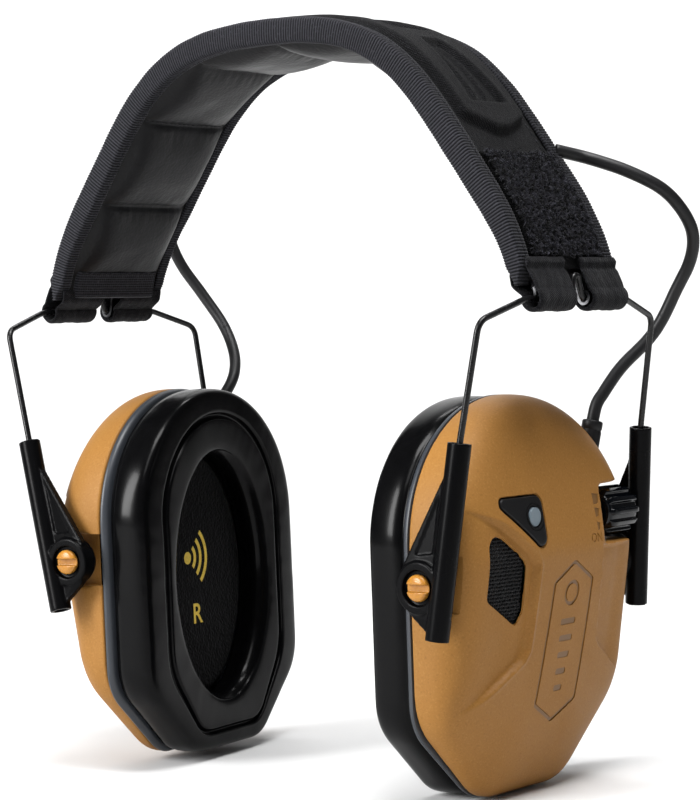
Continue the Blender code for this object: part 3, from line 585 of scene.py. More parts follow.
def make_materials():
    """Every surface in the scene."""
    made = {}
    tan = moulded("moulded_tan", (0.280, 0.131, 0.031), 0.50, grain=0.42, depth=0.030, specular=0.13,
                  mottle=0.16)
    speck = tan.noise(0.55, 2.0)
    tan.tint(tan.spread(speck, 0.0, 0.30, (0.56, 0.72)), (0.40, 0.22, 0.075))
    tan.tint(tan.spread(speck, 0.35, 0.0, (0.28, 0.42)), (0.16, 0.072, 0.015))
    made["tan"] = tan
    # A darker tan for the sheets in the engraved marks: painted shade in the grooves.
    made["tan_mark"] = moulded("debossed_mark_shade", (0.155, 0.072, 0.016), 0.5, grain=0.4, depth=0.01)
    made["blue_grey"] = moulded("moulded_blue_grey", (0.030, 0.034, 0.041), 0.40, grain=0.3, depth=0.008,
                                specular=0.4)
    made["arm"] = moulded("moulded_black", (0.0016, 0.0016, 0.0019), 0.29, grain=0.3, depth=0.008, specular=0.06,
                          mottle=0.2)
    made["inner_black"] = moulded("inner_black", (0.008, 0.008, 0.0085), 0.5, grain=0.5, depth=0.02)
    made["bezel"] = moulded("bezel_black", (0.006, 0.006, 0.0065), 0.42, grain=0.22, depth=0.012, specular=0.2,
                            mottle=0.2)
    vinyl = Paint("cushion_vinyl", (0.0016, 0.0016, 0.0018), 0.20, specular=0.07)
    broad = vinyl.noise(26.0, 2.0)
    vinyl.vary_roughness(broad, 0.17, 0.27)
    vinyl.tint(vinyl.spread(vinyl.noise(3.0, 4.0), 0.0, 0.3), (0.004, 0.004, 0.0045))
    vinyl.bump(vinyl.noise(18.0, 1.0), 0.10)
    vinyl.bump(vinyl.noise(0.5, 3.0), 0.004)
    vinyl.coat(0.05, 0.10)
    made["vinyl"] = vinyl
    made["foam"] = make_foam()
    made["leather"] = make_leather()
    made["top_fabric"] = fabric("top_fabric", (0.0042, 0.0042, 0.0050), 0.6, 0.13, sheen=0.045)
    tape = fabric("grosgrain", (0.011, 0.011, 0.0135), 0.3, 0.02, sheen=0.09)
    # Lighter along the rib crests and darker in the grooves between them: painted highlight and painted shade on the
    # ribs.
    rib_shade_bands = tape.bands(0.9, (1.0, 0.0, 0.0))
    tape.tint(tape.spread(rib_shade_bands, 0.0, 0.75, (0.0, 1.0)), (0.040, 0.040, 0.048))
    tape.tint(tape.spread(rib_shade_bands, 0.8, 0.0, (-1.0, -0.2)), (0.0025, 0.0025, 0.003))
    made["grosgrain"] = tape
    made["twill"] = fabric("twill", (0.0045, 0.0045, 0.0056), 0.55, 0.07, sheen=0.06, diagonal=True)
    made["hook_base"] = fabric("hook_base", (0.0012, 0.0012, 0.0015), 0.7, 0.10, sheen=0.0)
    thread = fabric("hook_thread", (0.026, 0.026, 0.033), 0.3, 0.01, sheen=0.09)
    thread.tint(thread.spread(thread.noise(1.5, 2.0), 1.0, 0.0, (0.42, 0.60)), (0.0016, 0.0016, 0.002))
    made["hook_thread"] = thread
    made["thread"] = fabric("stitch_thread", (0.013, 0.013, 0.015), 0.25, 0.02, sheen=0.08)
    made["mesh"] = fabric("mic_mesh", (0.006, 0.006, 0.0065), 0.3, 0.01, roughness=0.34, sheen=0.03)
    made["rubber"] = moulded("cable_rubber", (0.008, 0.008, 0.0088), 0.46, grain=0.5, depth=0.01, specular=0.25)
    wire = Paint("coated_wire", (0.004, 0.004, 0.0045), 0.26, specular=0.3)
    wire.vary_roughness(wire.noise(2.5, 3.0), 0.2, 0.34)
    wire.bump(wire.noise(0.6, 2.0), 0.006)
    made["wire"] = wire
    stud = Paint("stud_amber", (0.40, 0.175, 0.022), 0.33, specular=0.3)
    stud.tint(stud.spread(stud.noise(1.4, 3.0), 0.0, 0.35), (0.24, 0.085, 0.012))
    stud.vary_roughness(stud.noise(0.9, 2.0), 0.22, 0.36)
    stud.bump(stud.noise(0.5, 2.0), 0.012)
    stud.coat(0.08, 0.15)
    made["stud"] = stud
    knob = Paint("knob_gloss", (0.0018, 0.0024, 0.0036), 0.13, specular=0.2)
    knob.vary_roughness(knob.noise(3.0, 2.0), 0.09, 0.16)
    knob.bump(knob.noise(0.4, 2.0), 0.003)
    knob.coat(0.08, 0.05)
    made["knob"] = knob
    made["button"] = moulded("button_rubber", (0.135, 0.175, 0.205), 0.45, grain=0.3, depth=0.008, mottle=0.15)
    yellow = Paint("yellow_print", (0.80, 0.56, 0.06), 0.6)
    yellow.tint(yellow.spread(yellow.noise(0.7, 3.0), 0.0, 0.55, (0.35, 0.75)), (0.42, 0.28, 0.03))
    yellow.bump(yellow.noise(0.5, 3.0), 0.05)
    made["yellow"] = yellow
    spring = Paint("spring_strip", (0.11, 0.11, 0.115), 0.34, 1.0)
    spring.vary_roughness(spring.noise(0.3, 2.0, (0.05, 1, 1)), 0.26, 0.44)
    spring.bump(spring.noise(0.3, 2.0, (0.05, 1, 1)), 0.01)
    made["spring"] = spring
    board = Paint("board_green", (0.015, 0.085, 0.035), 0.35)
    board.tint(board.spread(board.cells(1.6), 0.0, 0.8, (0.1, 0.5)), (0.03, 0.16, 0.07))
    board.bump(board.cells(2.2), 0.10)
    made["board"] = board
    label = Paint("battery_jacket", (0.05, 0.055, 0.06), 0.3, 0.4)
    label.tint(label.spread(label.noise(6.0, 2.0), 0.0, 0.4), (0.075, 0.08, 0.085))
    label.bump(label.noise(1.0, 2.0), 0.01)
    made["battery"] = label
    return {key: value.mat for key, value in made.items()}


def make_foam():
    """Open-cell foam, with painted shade in its pores."""
    foam = Paint("open_cell_foam", (0.003, 0.003, 0.0034), 0.97, specular=0.05)
    pores = foam.cells(0.9)
    # Darker in the middle of each pore, where the bump dips: painted shade in the pores.
    foam.tint(foam.spread(pores, 0.0, 1.0, (0.15, 0.55)), (0.0065, 0.0065, 0.007))
    foam.tint(foam.spread(foam.noise(7.0, 3.0), 0.0, 0.4), (0.006, 0.006, 0.006))
    foam.bump(pores, 0.35)
    foam.bump(foam.noise(2.2, 3.0), 0.25)
    foam.sheen(0.03, 0.5)
    return foam


def make_leather():
    """Soft leatherette with a pebbled grain."""
    leather = Paint("leatherette", (0.0045, 0.0045, 0.0052), 0.42, specular=0.14)
    pebbles = leather.cells(0.85, feature="SMOOTH_F1")
    broad = leather.noise(11.0, 3.0)
    leather.vary_roughness(broad, 0.36, 0.50)
    leather.tint(leather.spread(broad, 0.0, 0.5), (0.010, 0.010, 0.0115))
    leather.bump(leather.noise(5.0, 3.0, distortion=0.6), 0.14)
    leather.bump(pebbles, 0.07)
    leather.sheen(0.03, 0.4)
    return leather


MATS = make_materials()


def set_uv(item, uv):
    """Give a mesh one UV per vertex, in metres of cloth."""
    layer = item.data.uv_layers.new(name="cloth")
    corners = np.zeros(len(item.data.loops), np.int32)
    item.data.loops.foreach_get("vertex_index", corners)
    layer.data.foreach_set("uv", np.asarray(uv, np.float32)[corners].ravel())
    return item


# ---------------------------------------------------------------- camera, floor and lights
CAMERA = {"azimuth": 38.505, "elevation": 1.820, "roll": -1.293, "focal": 2491.56, "distance": 723.99,
          "right": 8.389, "up": -27.789}


def make_camera():
    """The viewpoint: in front of the left cup, almost level with it."""
    a, e, r = (math.radians(CAMERA[k]) for k in ("azimuth", "elevation", "roll"))
    back = Vector((math.sin(a) * math.cos(e), -math.cos(a) * math.cos(e), math.sin(e)))
    right = Vector((math.cos(a), math.sin(a), 0.0))
    up = back.cross(right)
    place = back * CAMERA["distance"] + right * CAMERA["right"] + up * CAMERA["up"]
    right, up = right * math.cos(r) + up * math.sin(r), up * math.cos(r) - right * math.sin(r)
    data = bpy.data.cameras.new("camera")
    data.sensor_width = 36.0
    data.sensor_fit = "AUTO"
    data.lens = CAMERA["focal"] * 36.0 / 800.0
    data.clip_start = 0.05
    data.clip_end = 20.0
    item = linked("camera", data)
    matrix = Matrix((right, up, back)).transposed().to_4x4()
    matrix.translation = Vector(to_world([place])[0])
    item.matrix_world = matrix
    bpy.context.scene.camera = item


def area_light(name, place, target, size, power):
    """A soft box that faces a point."""
    data = bpy.data.lights.new(name, "AREA")
    data.shape = "RECTANGLE"
    data.size, data.size_y = size
    data.energy = power
    item = linked(name, data)
    item.location = place
    item.rotation_euler = (Vector(target) - Vector(place)).to_track_quat("-Z", "Y").to_euler()


def make_stage():
    """A pale floor that sweeps up behind, a white surround and soft boxes."""
    near, far, bend, top, half_width = -0.8, 0.9, 0.8, 3.2, 1.8
    profile = [(near, 0.0), (far, 0.0)]
    for k in range(1, 13):
        angle = math.pi / 2 * k / 12
        profile.append((far + bend * math.sin(angle), bend * (1 - math.cos(angle))))
    profile.append((far + bend, top))
    turn = math.radians(38.5)
    verts = []
    for along, height in profile:
        for side in (-half_width, half_width):
            x = side * math.cos(turn) - along * math.sin(turn)
            y = side * math.sin(turn) + along * math.cos(turn)
            verts.append((x, y, height - 0.0006))
    paint = Paint("studio_floor", (0.72, 0.72, 0.72), 0.85, specular=0.1)
    paint.tint(paint.spread(paint.noise(300.0, 2.0), 0.0, 0.15), (0.70, 0.70, 0.70))
    item = new_object("studio_floor", verts, grid_faces(len(profile), 2), paint.mat)
    world = bpy.data.worlds.new("studio")
    bpy.context.scene.world = world
    world.use_nodes = True
    nodes, links = world.node_tree.nodes, world.node_tree.links
    nodes["Background"].inputs["Color"].default_value = (1.0, 1.0, 1.0, 1.0)
    rays = nodes.new("ShaderNodeLightPath")
    level = nodes.new("ShaderNodeMapRange")
    level.inputs["To Min"].default_value = 0.08
    level.inputs["To Max"].default_value = 0.90
    links.new(rays.outputs["Is Camera Ray"], level.inputs["Value"])
    links.new(level.outputs["Result"], nodes["Background"].inputs["Strength"])
    bpy.context.scene.view_settings.view_transform = "Standard"
    area_light("key", (0.50, -0.75, 1.20), (0.03, 0.0, 0.10), (0.45, 0.45), 3.2)
    area_light("left_key", (-0.46, -1.06, 0.55), (0.0, 0.0, 0.10), (0.30, 0.80), 21.5)
    area_light("top", (0.26, -0.12, 1.12), (0.03, 0.0, 0.1), (0.6, 0.4), 15.0)
    area_light("rear_strip", (1.0, 0.45, 0.40), (0.05, 0.0, 0.10), (0.2, 0.8), 0.35)
    back = (-math.sin(turn), math.cos(turn))
    place = (back[0] * 0.8, back[1] * 0.8, 1.6)
    target = (back[0] * 1.75, back[1] * 1.75, 0.40)
    area_light("backdrop", place, target, (1.0, 0.4), 25.0)


# ---------------------------------------------------------------- cables
def relief_exit(cup):
    """Two points on the axis of the strain relief, where the cable leaves it."""
    axis = np.array((RELIEF_TOP - RELIEF_BASE).normalized())
    top = np.array(RELIEF_TOP) + axis * 0.6
    return [p for p in cup_points(cup, [top, top + axis * 3.0])]


def make_cables(side, cup):
    """The cable of one side in three lengths, each reaching across one joint."""
    end = np.array(CABLE_END) * (cup["sign"], 1, 1)
    coarse = smooth_route(relief_exit(cup) + CABLE_ROUTES[side] + [end], 4.0)
    count = len(coarse) - 1
    cuts = [0, round(count / 3), round(2 * count / 3), count]
    parts = (("_cup_cable", side + "_cup", side + "_yoke"), ("_arm_cable", side + "_yoke", side + "_bail"),
             ("_band_cable", side + "_bail", "headband"))
    shown = coarse.copy()
    shown[-1] += (-1.2 * cup["sign"], -3.6, 0.6)
    shown[0] -= (coarse[1] - coarse[0]) * 0.5
    for (label, near, far), a, b in zip(parts, cuts, cuts[1:]):
        route = smooth_route(list(shown[max(a - 1, 0):min(b + 1, count) + 1]), 0.8)
        start, stop = (np.argmin(np.linalg.norm(route - shown[k], axis=1)) for k in (a, b))
        route = route[start:stop + 1]
        route[0], route[-1] = shown[a], shown[b]
        if b < count:
            onward = shown[b + 1] - shown[b]
            route = np.vstack([route, shown[b] + onward / np.linalg.norm(onward) * CABLE_OVERLAP])
        name = side + label
        item = tube_mesh(name + "_skin", route, CABLE_RADIUS, MATS["rubber"], 22, 0.02)
        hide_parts(name)
        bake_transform(item)


# ---------------------------------------------------------------- cup surface
def cup_ring(half_width, top, base, foot, heel, radii):
    """A round top and a chamfered lower part as (rear, up) points."""
    arc = np.linspace(0, math.pi, 120)
    upper = np.stack([half_width * np.cos(arc), CUP_SHOULDER + (top - CUP_SHOULDER) * np.sin(arc)], axis=1)
    corners = [(-half_width, CUP_SHOULDER), (-half_width, heel), (-foot, base), (foot, base), (half_width, heel),
               (half_width, CUP_SHOULDER)]
    return np.vstack([upper, round_corners(corners, radii, 12)[1:-1]])


def outline(count=360):
    """The cup's outline (rear, up) as evenly spaced points."""
    points = cup_ring(CUP_HALF_WIDTH, CUP_TOP, CUP_BOTTOM, CUP_BOTTOM_HALF, CUP_CHAMFER, [8.0, 6.0, 6.0, 8.0])
    return resample_like(points, count)


def oval(half_width, half_height, middle, count=360):
    """An oval whose points face those of the outline."""
    ring = outline(count)
    angle = np.arctan2((ring[:, 1] - CUP_MIDDLE) / 56.0, ring[:, 0] / CUP_HALF_WIDTH)
    return np.stack([half_width * np.cos(angle), middle + half_height * np.sin(angle)], axis=1)


def soft_above(value, width=2.5):
    """A rounded max(0, value)."""
    return 0.5 * (value + np.sqrt(value * value + width * width))


def crown(w):
    """How far out the dome's middle line stands at a height on the cup."""
    return DOME_N + 0.4 - 0.21 * soft_above(5.0 - w) - 0.15 * soft_above(w - 8.0)


def dome_n(scale, w):
    """The dome's outward height where the outline is shrunk by a scale."""
    return RIM_N + (crown(w) - RIM_N) * np.maximum(0.0, 1 - scale ** DOME_POWER) ** (1 / DOME_POWER)


def outline_half_width(w):
    """Half the outline's width at a height."""
    w = np.asarray(w, float)
    round_part = 1 - ((w - CUP_SHOULDER) / (CUP_TOP - CUP_SHOULDER)) ** 2
    part = (CUP_CHAMFER - w) / (CUP_CHAMFER - CUP_BOTTOM)
    width = np.where(w >= CUP_SHOULDER, CUP_HALF_WIDTH * np.sqrt(np.maximum(0, round_part)),
                     np.where(w >= CUP_CHAMFER, CUP_HALF_WIDTH,
                              CUP_HALF_WIDTH + (CUP_BOTTOM_HALF - CUP_HALF_WIDTH) * part))
    return np.where((w > CUP_TOP) | (w < CUP_BOTTOM), -1.0, width)


def dome_at(u, w):
    """The dome's outward height above points (rear, up)."""
    u, w = np.broadcast_arrays(np.asarray(u, float), np.asarray(w, float))
    low = np.full(u.shape, 1e-4)
    high = np.full(u.shape, 1.2)
    for _ in range(26):
        middle = (low + high) / 2
        inside = outline_half_width(CUP_MIDDLE + (w - CUP_MIDDLE) / middle) >= np.abs(u) / middle
        high = np.where(inside, middle, high)
        low = np.where(inside, low, middle)
    return dome_n(np.minimum(high, 1.0), w)


def level_row(n, points):
    """A ring of (rear, up) points at one outward height."""
    return np.column_stack([np.full(len(points), n), points])


def dome_solid(name, shrink, sink, rim, rows=64, count=300):
    """A closed dome with a flat base, in a cup's frame."""
    ring = outline(count)
    centre = np.array((0.0, CUP_MIDDLE))
    stack = [level_row(rim, centre + (ring - centre) * shrink)]
    for t in np.linspace(0.0, math.pi / 2, rows)[:-1]:
        if t == 0.0 and rim == RIM_N:
            continue
        scale = max(math.cos(t), 0.02) ** (2 / DOME_POWER)
        height = dome_n(scale, (centre + (ring - centre) * scale)[:, 1]) - sink
        stack.append(np.column_stack([height, centre + (ring - centre) * scale * shrink]))
    return local_solid(name, stack)


def local_solid(name, rings, closed=False):
    """A lofted solid in a cup's frame, in metres, not placed yet."""
    return outward(new_object(name, np.vstack(rings) * MM, ring_faces(len(rings), len(rings[0]), closed)))


def lathe(name, base, axis, pair, profile, sides):
    """A solid of revolution in a cup's frame from (distance along the axis, radius) pairs."""
    rows = [circle_row(base + axis * along, pair, radius, turns(sides)) for along, radius in profile]
    return local_solid(name, rows)


def local_box(name, low, high, bevel=0.0):
    """A block in a cup's frame, with rounded edges if asked."""
    bm = bmesh.new()
    bmesh.ops.create_cube(bm, size=1.0)
    for vertex in bm.verts:
        for k in range(3):
            vertex.co[k] = (low[k] if vertex.co[k] < 0 else high[k]) * MM
    if bevel:
        bmesh.ops.bevel(bm, geom=list(bm.edges), offset=bevel * MM, segments=4, profile=0.5, affect="EDGES")
    mesh = bpy.data.meshes.new(name)
    bm.to_mesh(mesh)
    bm.free()
    return linked(name, mesh)


def local_rod(name, start, end, radius, sides=40):
    """A cylinder in a cup's frame."""
    start, end = np.array(start, float), np.array(end, float)
    axis = (end - start) / np.linalg.norm(end - start)
    side = unit(np.cross(axis, (0.0, 0.0, 1.0) if abs(axis[2]) < 0.9 else (1.0, 0.0, 0.0)))
    pair = (side, np.cross(axis, side))
    return local_solid(name, [circle_row(place, pair, radius, turns(sides)) for place in (start, end)])


def local_prism(name, polygon, low, high):
    """A straight prism along the outward axis over a polygon."""
    polygon = np.asarray(polygon, float)
    return local_solid(name, [level_row(n, polygon) for n in (low, high)])


def place_in_cup(item, cup):
    """Turn a mesh built in a left-hand cup frame into the real place, in its vertices."""
    move_vertices(item.data, to_world(cup_points(cup, coordinates(item.data) / MM)))
    if cup["sign"] < 0:
        item.data.flip_normals()
    item.data.update()
    return item


def step_heights(u, w):
    """How far the outer face stands below the plain dome: a lowered front and rear panel."""
    points = np.column_stack([u, w])
    front = [(-70, 26), (-38, 19.7), (-27.7, 15.0), (-17.5, 6.9), (-15.5, 3.6), (-15.2, -19.4), (-16.9, -22.2),
             (-30.7, -31.0), (-40, -36), (-70, -48)]
    rear = [(15.8, 6.2), (18.2, -20.0), (19.9, -21.8), (35.3, -31.0), (60, -46), (70, 6.2)]
    front_edge = polygon_distance(points, front)
    rear_edge = polygon_distance(points, rear)
    front_drop = 1.85 * (1 - smoothstep(-0.8, 0.35, front_edge)) * smoothstep(-41, -24, u)
    front_drop += 0.35 * (1 - smoothstep(-9.0, 0.0, front_edge)) * smoothstep(-41, -26, u)
    rear_drop = 1.95 * (1 - smoothstep(-0.8, 0.3, rear_edge)) * (1 - smoothstep(27, 38, u))
    lip = 0.42 * np.exp(-((front_edge - 0.65) / 0.65) ** 2) * smoothstep(-36, -26, u)
    return front_drop + rear_drop - lip


def seat(item, cup, body, slot, *replaced):
    """Place a piece that was built in a cup's frame and attach it."""
    return finish_piece(place_in_cup(item, cup), body, slot, *replaced)


def face_at(points, stepped=True):
    """The outward height of the outer face, or of the plain dome, at (rear, up) points."""
    face = dome_at(points[:, 0], points[:, 1])
    return face - step_heights(points[:, 0], points[:, 1]) if stepped else face


def shape_face(item):
    """Press the raised middle and the lowered panels into the shell's outer face."""
    co = coordinates(item.data)
    local = co / MM
    face = face_at(local[:, 1:], stepped=False)
    near = smoothstep(-1.1, -0.6, local[:, 0] - face) * smoothstep(0.0, 3.0, local[:, 0])
    co[:, 0] -= step_heights(local[:, 1], local[:, 2]) * near * MM
    move_vertices(item.data, co)
    return item


def ring_cutter(name, outer, inner, lift, stepped=True):
    """A ring-shaped cutter that reaches down to a lift over the outer face."""
    tall = ((outer, lift), (inner, lift), (inner, 3), (outer, 3))
    rows = [np.column_stack([face_at(ring, stepped) + rise, ring]) for ring, rise in tall]
    return local_solid(name, rows, closed=True)


def groove_tool(name, outer, inner, depth, spacing=1.2):
    """A ring-shaped cutter that follows the outer face to a depth."""
    outer = resample(outer, spacing, closed=True)
    return ring_cutter(name, outer, resample_like(inner, len(outer)), -depth)


def resample_like(points, count):
    """Resample a closed polygon to an exact count of points."""
    points = np.asarray(points, float)
    closed = np.vstack([points, points[:1]])
    total = np.sum(np.linalg.norm(np.diff(closed, axis=0), axis=1))
    return resample(points, total / count, closed=True)[:count]


def patch_tool(name, polygon, depth, stepped=True):
    """A filled cutter over a polygon that follows the outer face to a depth."""
    polygon = np.asarray(polygon, float)
    face = face_at(polygon, stepped)
    return local_solid(name, [np.column_stack([face + rise, polygon]) for rise in (-depth, 3)])


def wedge_marks():
    """Three bars of falling length beside the knob, for the volume."""
    bars = []
    for k, (width, height) in enumerate(((5.0, 2.9), (3.4, 2.4), (2.2, 2.2))):
        top = 20.6 - k * 3.9
        bars.append([(13.3, top), (13.3 + width * 0.72, top - 0.5), (13.3 + width * 0.52, top - height),
                     (13.3, top - height - 0.35)][::-1])
    return bars


def text_mesh(text, size, resolution, extrude=0.0, offset=0.0):
    """The mesh of a centred letter or short word."""
    curve = bpy.data.curves.new("label", "FONT")
    curve.body = text
    curve.size = size * MM
    curve.align_x = "CENTER"
    curve.align_y = "CENTER"
    curve.extrude = extrude
    curve.offset = offset
    curve.resolution_u = resolution
    item = linked("label", curve)
    bpy.context.view_layer.update()
    mesh = bpy.data.meshes.new_from_object(item.evaluated_get(bpy.context.evaluated_depsgraph_get()))
    drop(item)
    return mesh


def text_outline(text, size, centre, depth):
    """A word as a cutter that follows the outer face to a depth, centred at a point on it."""
    mesh = text_mesh(text, size, 3, extrude=2.0 * MM)
    co = coordinates(mesh)
    flat = co[:, :2] + np.array(centre) * MM
    face = face_at(flat / MM) * MM
    move_vertices(mesh, np.column_stack([np.where(co[:, 2] < 0, face - depth * MM, face + 2.0 * MM), flat]))
    return linked("label", mesh)


# ---------------------------------------------------------------- cup pieces
def plate_solid(name, polygon, under, over, edge=0.35, stepped=True, spacing=0.8):
    """A plate with a rounded edge that follows the dome over a polygon."""
    ring = resample(polygon, spacing, closed=True)
    middle = ring.mean(axis=0)

    def row(points, lift):
        return np.column_stack([face_at(points, stepped) + lift, points])

    rows = [row(middle + (ring - middle) * share, -under) for share in (0.1, 0.4, 0.7, 1.0)]
    rows.append(row(ring, over - edge))
    for k in range(1, 5):
        angle = math.pi / 2 * k / 4
        inner = offset_polygon(ring, -edge * (1 - math.cos(angle)))
        rows.append(row(inner, over - edge + edge * math.sin(angle)))
    inner = offset_polygon(ring, -edge)
    rows += [row(middle + (inner - middle) * share, over) for share in (0.9, 0.78, 0.64, 0.5, 0.36, 0.22, 0.08)]
    return local_solid(name, rows)


LIP_CORNERS = [
    [(36.4, 21.8), (37.5, 22.7), (38.4, 23.6), (38.9, 24.7), (39.0, 26.2), (46.0, 26.2), (46.0, 21.8)],
    [(38.6, 7.0), (39.9, 6.2), (41.0, 5.2), (41.7, 4.0), (42.0, 2.6), (46.0, 2.6), (46.0, 7.0)],
]


def pocket_prism(name, grow, bevel):
    """The knob pocket: a slot whose front wall slopes back under the knob."""
    n, u, w = POCKET_LOW
    side_view = [(n - grow, u - grow), (2.9 - grow * 0.6, u - grow), (14.8 - grow * 0.6, u - 7.6 - grow),
                 (34.0, u - 19.9 - grow), (34.0, 60.0), (n - grow, 60.0)]
    rows = [np.array([(a, b, height) for a, b in side_view]) for height in (w - grow, POCKET_HIGH[2] + grow)]
    item = outward(local_solid(name, rows))
    if bevel:
        step = item.modifiers.new("bevel", "BEVEL")
        step.width = bevel * MM
        step.segments = 4
        step.limit_method = "ANGLE"
        applied(item)
    return item


def make_shell(side, cup):
    """The outer shell: moulded dome, lowered panels, windows, channels and marks."""
    shell = dome_solid(side + "_shell_skin", 1.0, 0.0, RIM_N)
    inner = dome_solid("inner", 1 - WALL / CUP_HALF_WIDTH, WALL, RIM_N - 3, 40, 220)
    walls, tools = [], []
    for end in (-1, 1):
        low, high = sorted((end * CHANNEL_FLOOR, end * CHANNEL_END))
        wall = end * (CHANNEL_FLOOR - 1.6)
        tools.append(local_box("channel", (-4.2, low, -CHANNEL_HALF), (CHANNEL_TOP, high, CHANNEL_HALF), 0.8))
        walls.append(local_box("wall", (-5.2, min(low, wall), -9.2), (CHANNEL_TOP, max(high, wall), 9.2)))
        tools.append(local_rod("pivot_hole", (0, end * 34, 0), (0, end * 45, 0), 2.65, 24))
    if side == "left":
        tools.append(pocket_prism("pocket", 0.0, 1.5))
        walls.append(pocket_prism("wall", WALL, 0.0))
        n, w = KNOB_CENTRE
        tools.append(local_rod("shaft_hole", (n, 18, w), (n, 28, w), 3.5, 30))
    cut(inner, walls)
    tools.append(inner)
    base, top = np.array(RELIEF_BASE), np.array(RELIEF_TOP)
    tools.append(local_rod("relief_hole", base - (top - base) * 0.3, top, 3.35, 30))
    if side == "left":
        for polygon in LIP_CORNERS:
            tools.append(local_prism("lip", polygon[::-1], -3.2, 40))
    cut(shell, tools)
    remesh(shell, 0.50, 4)
    crisp = []
    for end in (-1, 1):
        low, high = sorted((end * (CHANNEL_FLOOR - 0.8), end * CHANNEL_END))
        crisp.append(local_box("channel", (RIM_N - 1.0, low, -CHANNEL_HALF), (CHANNEL_TOP, high, CHANNEL_HALF), 0.3))
    shape_face(shell)
    cut(shell, crisp)
    cut_marks(side, shell)
    place_in_cup(shell, cup)
    set_material(shell, "tan", 42)
    finish_piece(shell, side + "_cup", "tan_shell", side + "_outer_shell")


def plate_shape(side):
    """The long plate's outline, and how far the marks on it are shifted."""
    shift = 0.0 if side == "left" else -7.0
    return round_polygon([(u, w + shift) for u, w in HEX_PLATE][::-1], 0.6, 3), shift


def plate_marks(shift):
    """The plain marks on the long plate: a ring over five level bars."""
    turn = np.linspace(0, 2 * math.pi, 49)[:-1]
    middle = np.array((1.6, -5.6 + shift))
    ring = np.column_stack([3.5 * np.cos(turn), 3.5 * np.sin(turn)]) + middle
    inner_ring = (ring - middle) * 0.7 + middle
    bars = []
    for k in range(5):
        half = 3.5 - 0.4 * k
        bars.append(bar_shape(1.6 - half, 1.6 + half, -13.4 - 4.6 * k + shift, 0.85, 0.6, 4))
    return ring, inner_ring, bars


def bar_shape(left, right, middle, half, radius, steps):
    """A level bar with rounded ends."""
    corners = [(left, middle - half), (right, middle - half), (right, middle + half), (left, middle + half)]
    return round_polygon(corners, radius, steps)


def cut_marks(side, shell):
    """Cut the openings, the long plate's groove, the level bars and the volume marks."""
    openings = [(WINDOW, 1.3, 0.1), (BEZEL, 1.5, 0.35)]
    if side == "right":
        openings.append((DOOR, 2.0, 0.55))
    holes = []
    for corners, radius, gap in openings:
        shape = offset_polygon(round_polygon(corners, radius), gap)
        holes.append(local_prism("opening", shape, -1, 30))
        holes.append(weld(patch_tool("opening_lip", offset_polygon(shape, 0.28), 0.28)))
    cut(shell, holes)
    plate, shift = plate_shape(side)
    ring, inner_ring, bars = plate_marks(shift)
    tools = [groove_tool("plate_groove", plate, offset_polygon(plate, -1.1), 0.55),
             groove_tool("ring_groove", ring, inner_ring, 0.4, 0.5)]
    tools += [patch_tool("bar", bar, 0.38) for bar in bars]
    if side == "left":
        tools += [patch_tool("wedge", bar, 0.3) for bar in wedge_marks()]
        tools.append(text_outline("ON", 3.6, (12.2, 8.4), 0.32))
    cut(shell, [weld(tool) for tool in tools])


def weld(item):
    """Merge doubled vertices and face everything outward."""
    bm = bmesh.new()
    bm.from_mesh(item.data)
    bmesh.ops.remove_doubles(bm, verts=bm.verts, dist=1e-7)
    bmesh.ops.recalc_face_normals(bm, faces=bm.faces)
    bm.to_mesh(item.data)
    bm.free()
    return item


def mark_shade_fills(side, cup):
    """Thin darker sheets at the bottom of the engraved marks: painted shade in the grooves."""
    plate, shift = plate_shape(side)
    ring, inner_ring, bars = plate_marks(shift)
    verts, faces = [], []

    def add(levels, **settings):
        start = len(verts)
        for shape, lift in levels:
            verts.extend(np.column_stack([face_at(shape) + lift, shape]))
        faces.extend(offset_faces(start, ring_faces(len(levels), len(levels[0][0]), **settings)))

    for bar in bars + (wedge_marks() if side == "left" else []):
        shape = offset_polygon(np.array(bar, float), 0.05)
        add([(shape, -0.8), (shape, -0.16)])
    edge = resample(offset_polygon(plate, -0.1), 1.2, closed=True)
    inner_edge = resample_like(offset_polygon(plate, -1.0), len(edge))
    for outside, inside in ((ring, inner_ring), (edge, inner_edge)):
        add([(outside, -0.9), (inside, -0.9), (inside, -0.28), (outside, -0.28)], closed_rows=True, caps=False)
    item = new_object(side + "_mark_shade_fills", np.array(verts) * MM, faces, MATS["tan_mark"], smooth=False)
    seat(outward(item), cup, side + "_cup", "tan_shell")


def window_wires(side, cup):
    """Woven mesh behind the microphone window, and the dark pad behind it."""
    edge = offset_polygon(np.array(WINDOW, float), 0.45)
    low, high = edge.min(axis=0), edge.max(axis=0)
    pitch, radius, sway, sides = 0.98, 0.30, 0.20, 6
    angles = turns(sides)
    verts, faces = [], []
    for family, across in ((0, (0.0, 1.0, 0.0)), (1, (0.0, 0.0, 1.0))):
        other = 1 - family
        pair = (np.array((0.8, 0.0, 0.0)), np.array(across) * 1.25)
        for lane_number, lane in enumerate(np.arange(low[family] + 0.4, high[family], pitch)):
            steps = np.arange(low[other], high[other], pitch / 4)
            points = np.zeros((len(steps), 2))
            points[:, family] = lane
            points[:, other] = steps
            runs = np.flatnonzero(polygon_distance(points, edge) < 0)
            if len(runs) < 4:
                continue
            points = points[runs[0]:runs[-1] + 1]
            phase = math.pi * ((points[:, other] - low[other]) / pitch + lane_number + family)
            path = np.column_stack([face_at(points) - 1.35 + sway * np.sin(phase), points])
            faces.extend(offset_faces(len(verts), ring_faces(len(path), sides)))
            for point in path:
                verts.extend(circle_row(point, pair, radius, angles))
    item = outward(new_object(side + "_mic_weave", np.array(verts) * MM, faces, MATS["mesh"]))
    seat(item, cup, side + "_cup", "black_fabric", side + "_mic_mesh")
    pad = plate_solid(side + "_mic_pad", offset_polygon(np.array(WINDOW, float), 0.3), 3.0, -1.9, 0.2)
    seat(set_material(pad, "foam"), cup, side + "_cup", "foam")


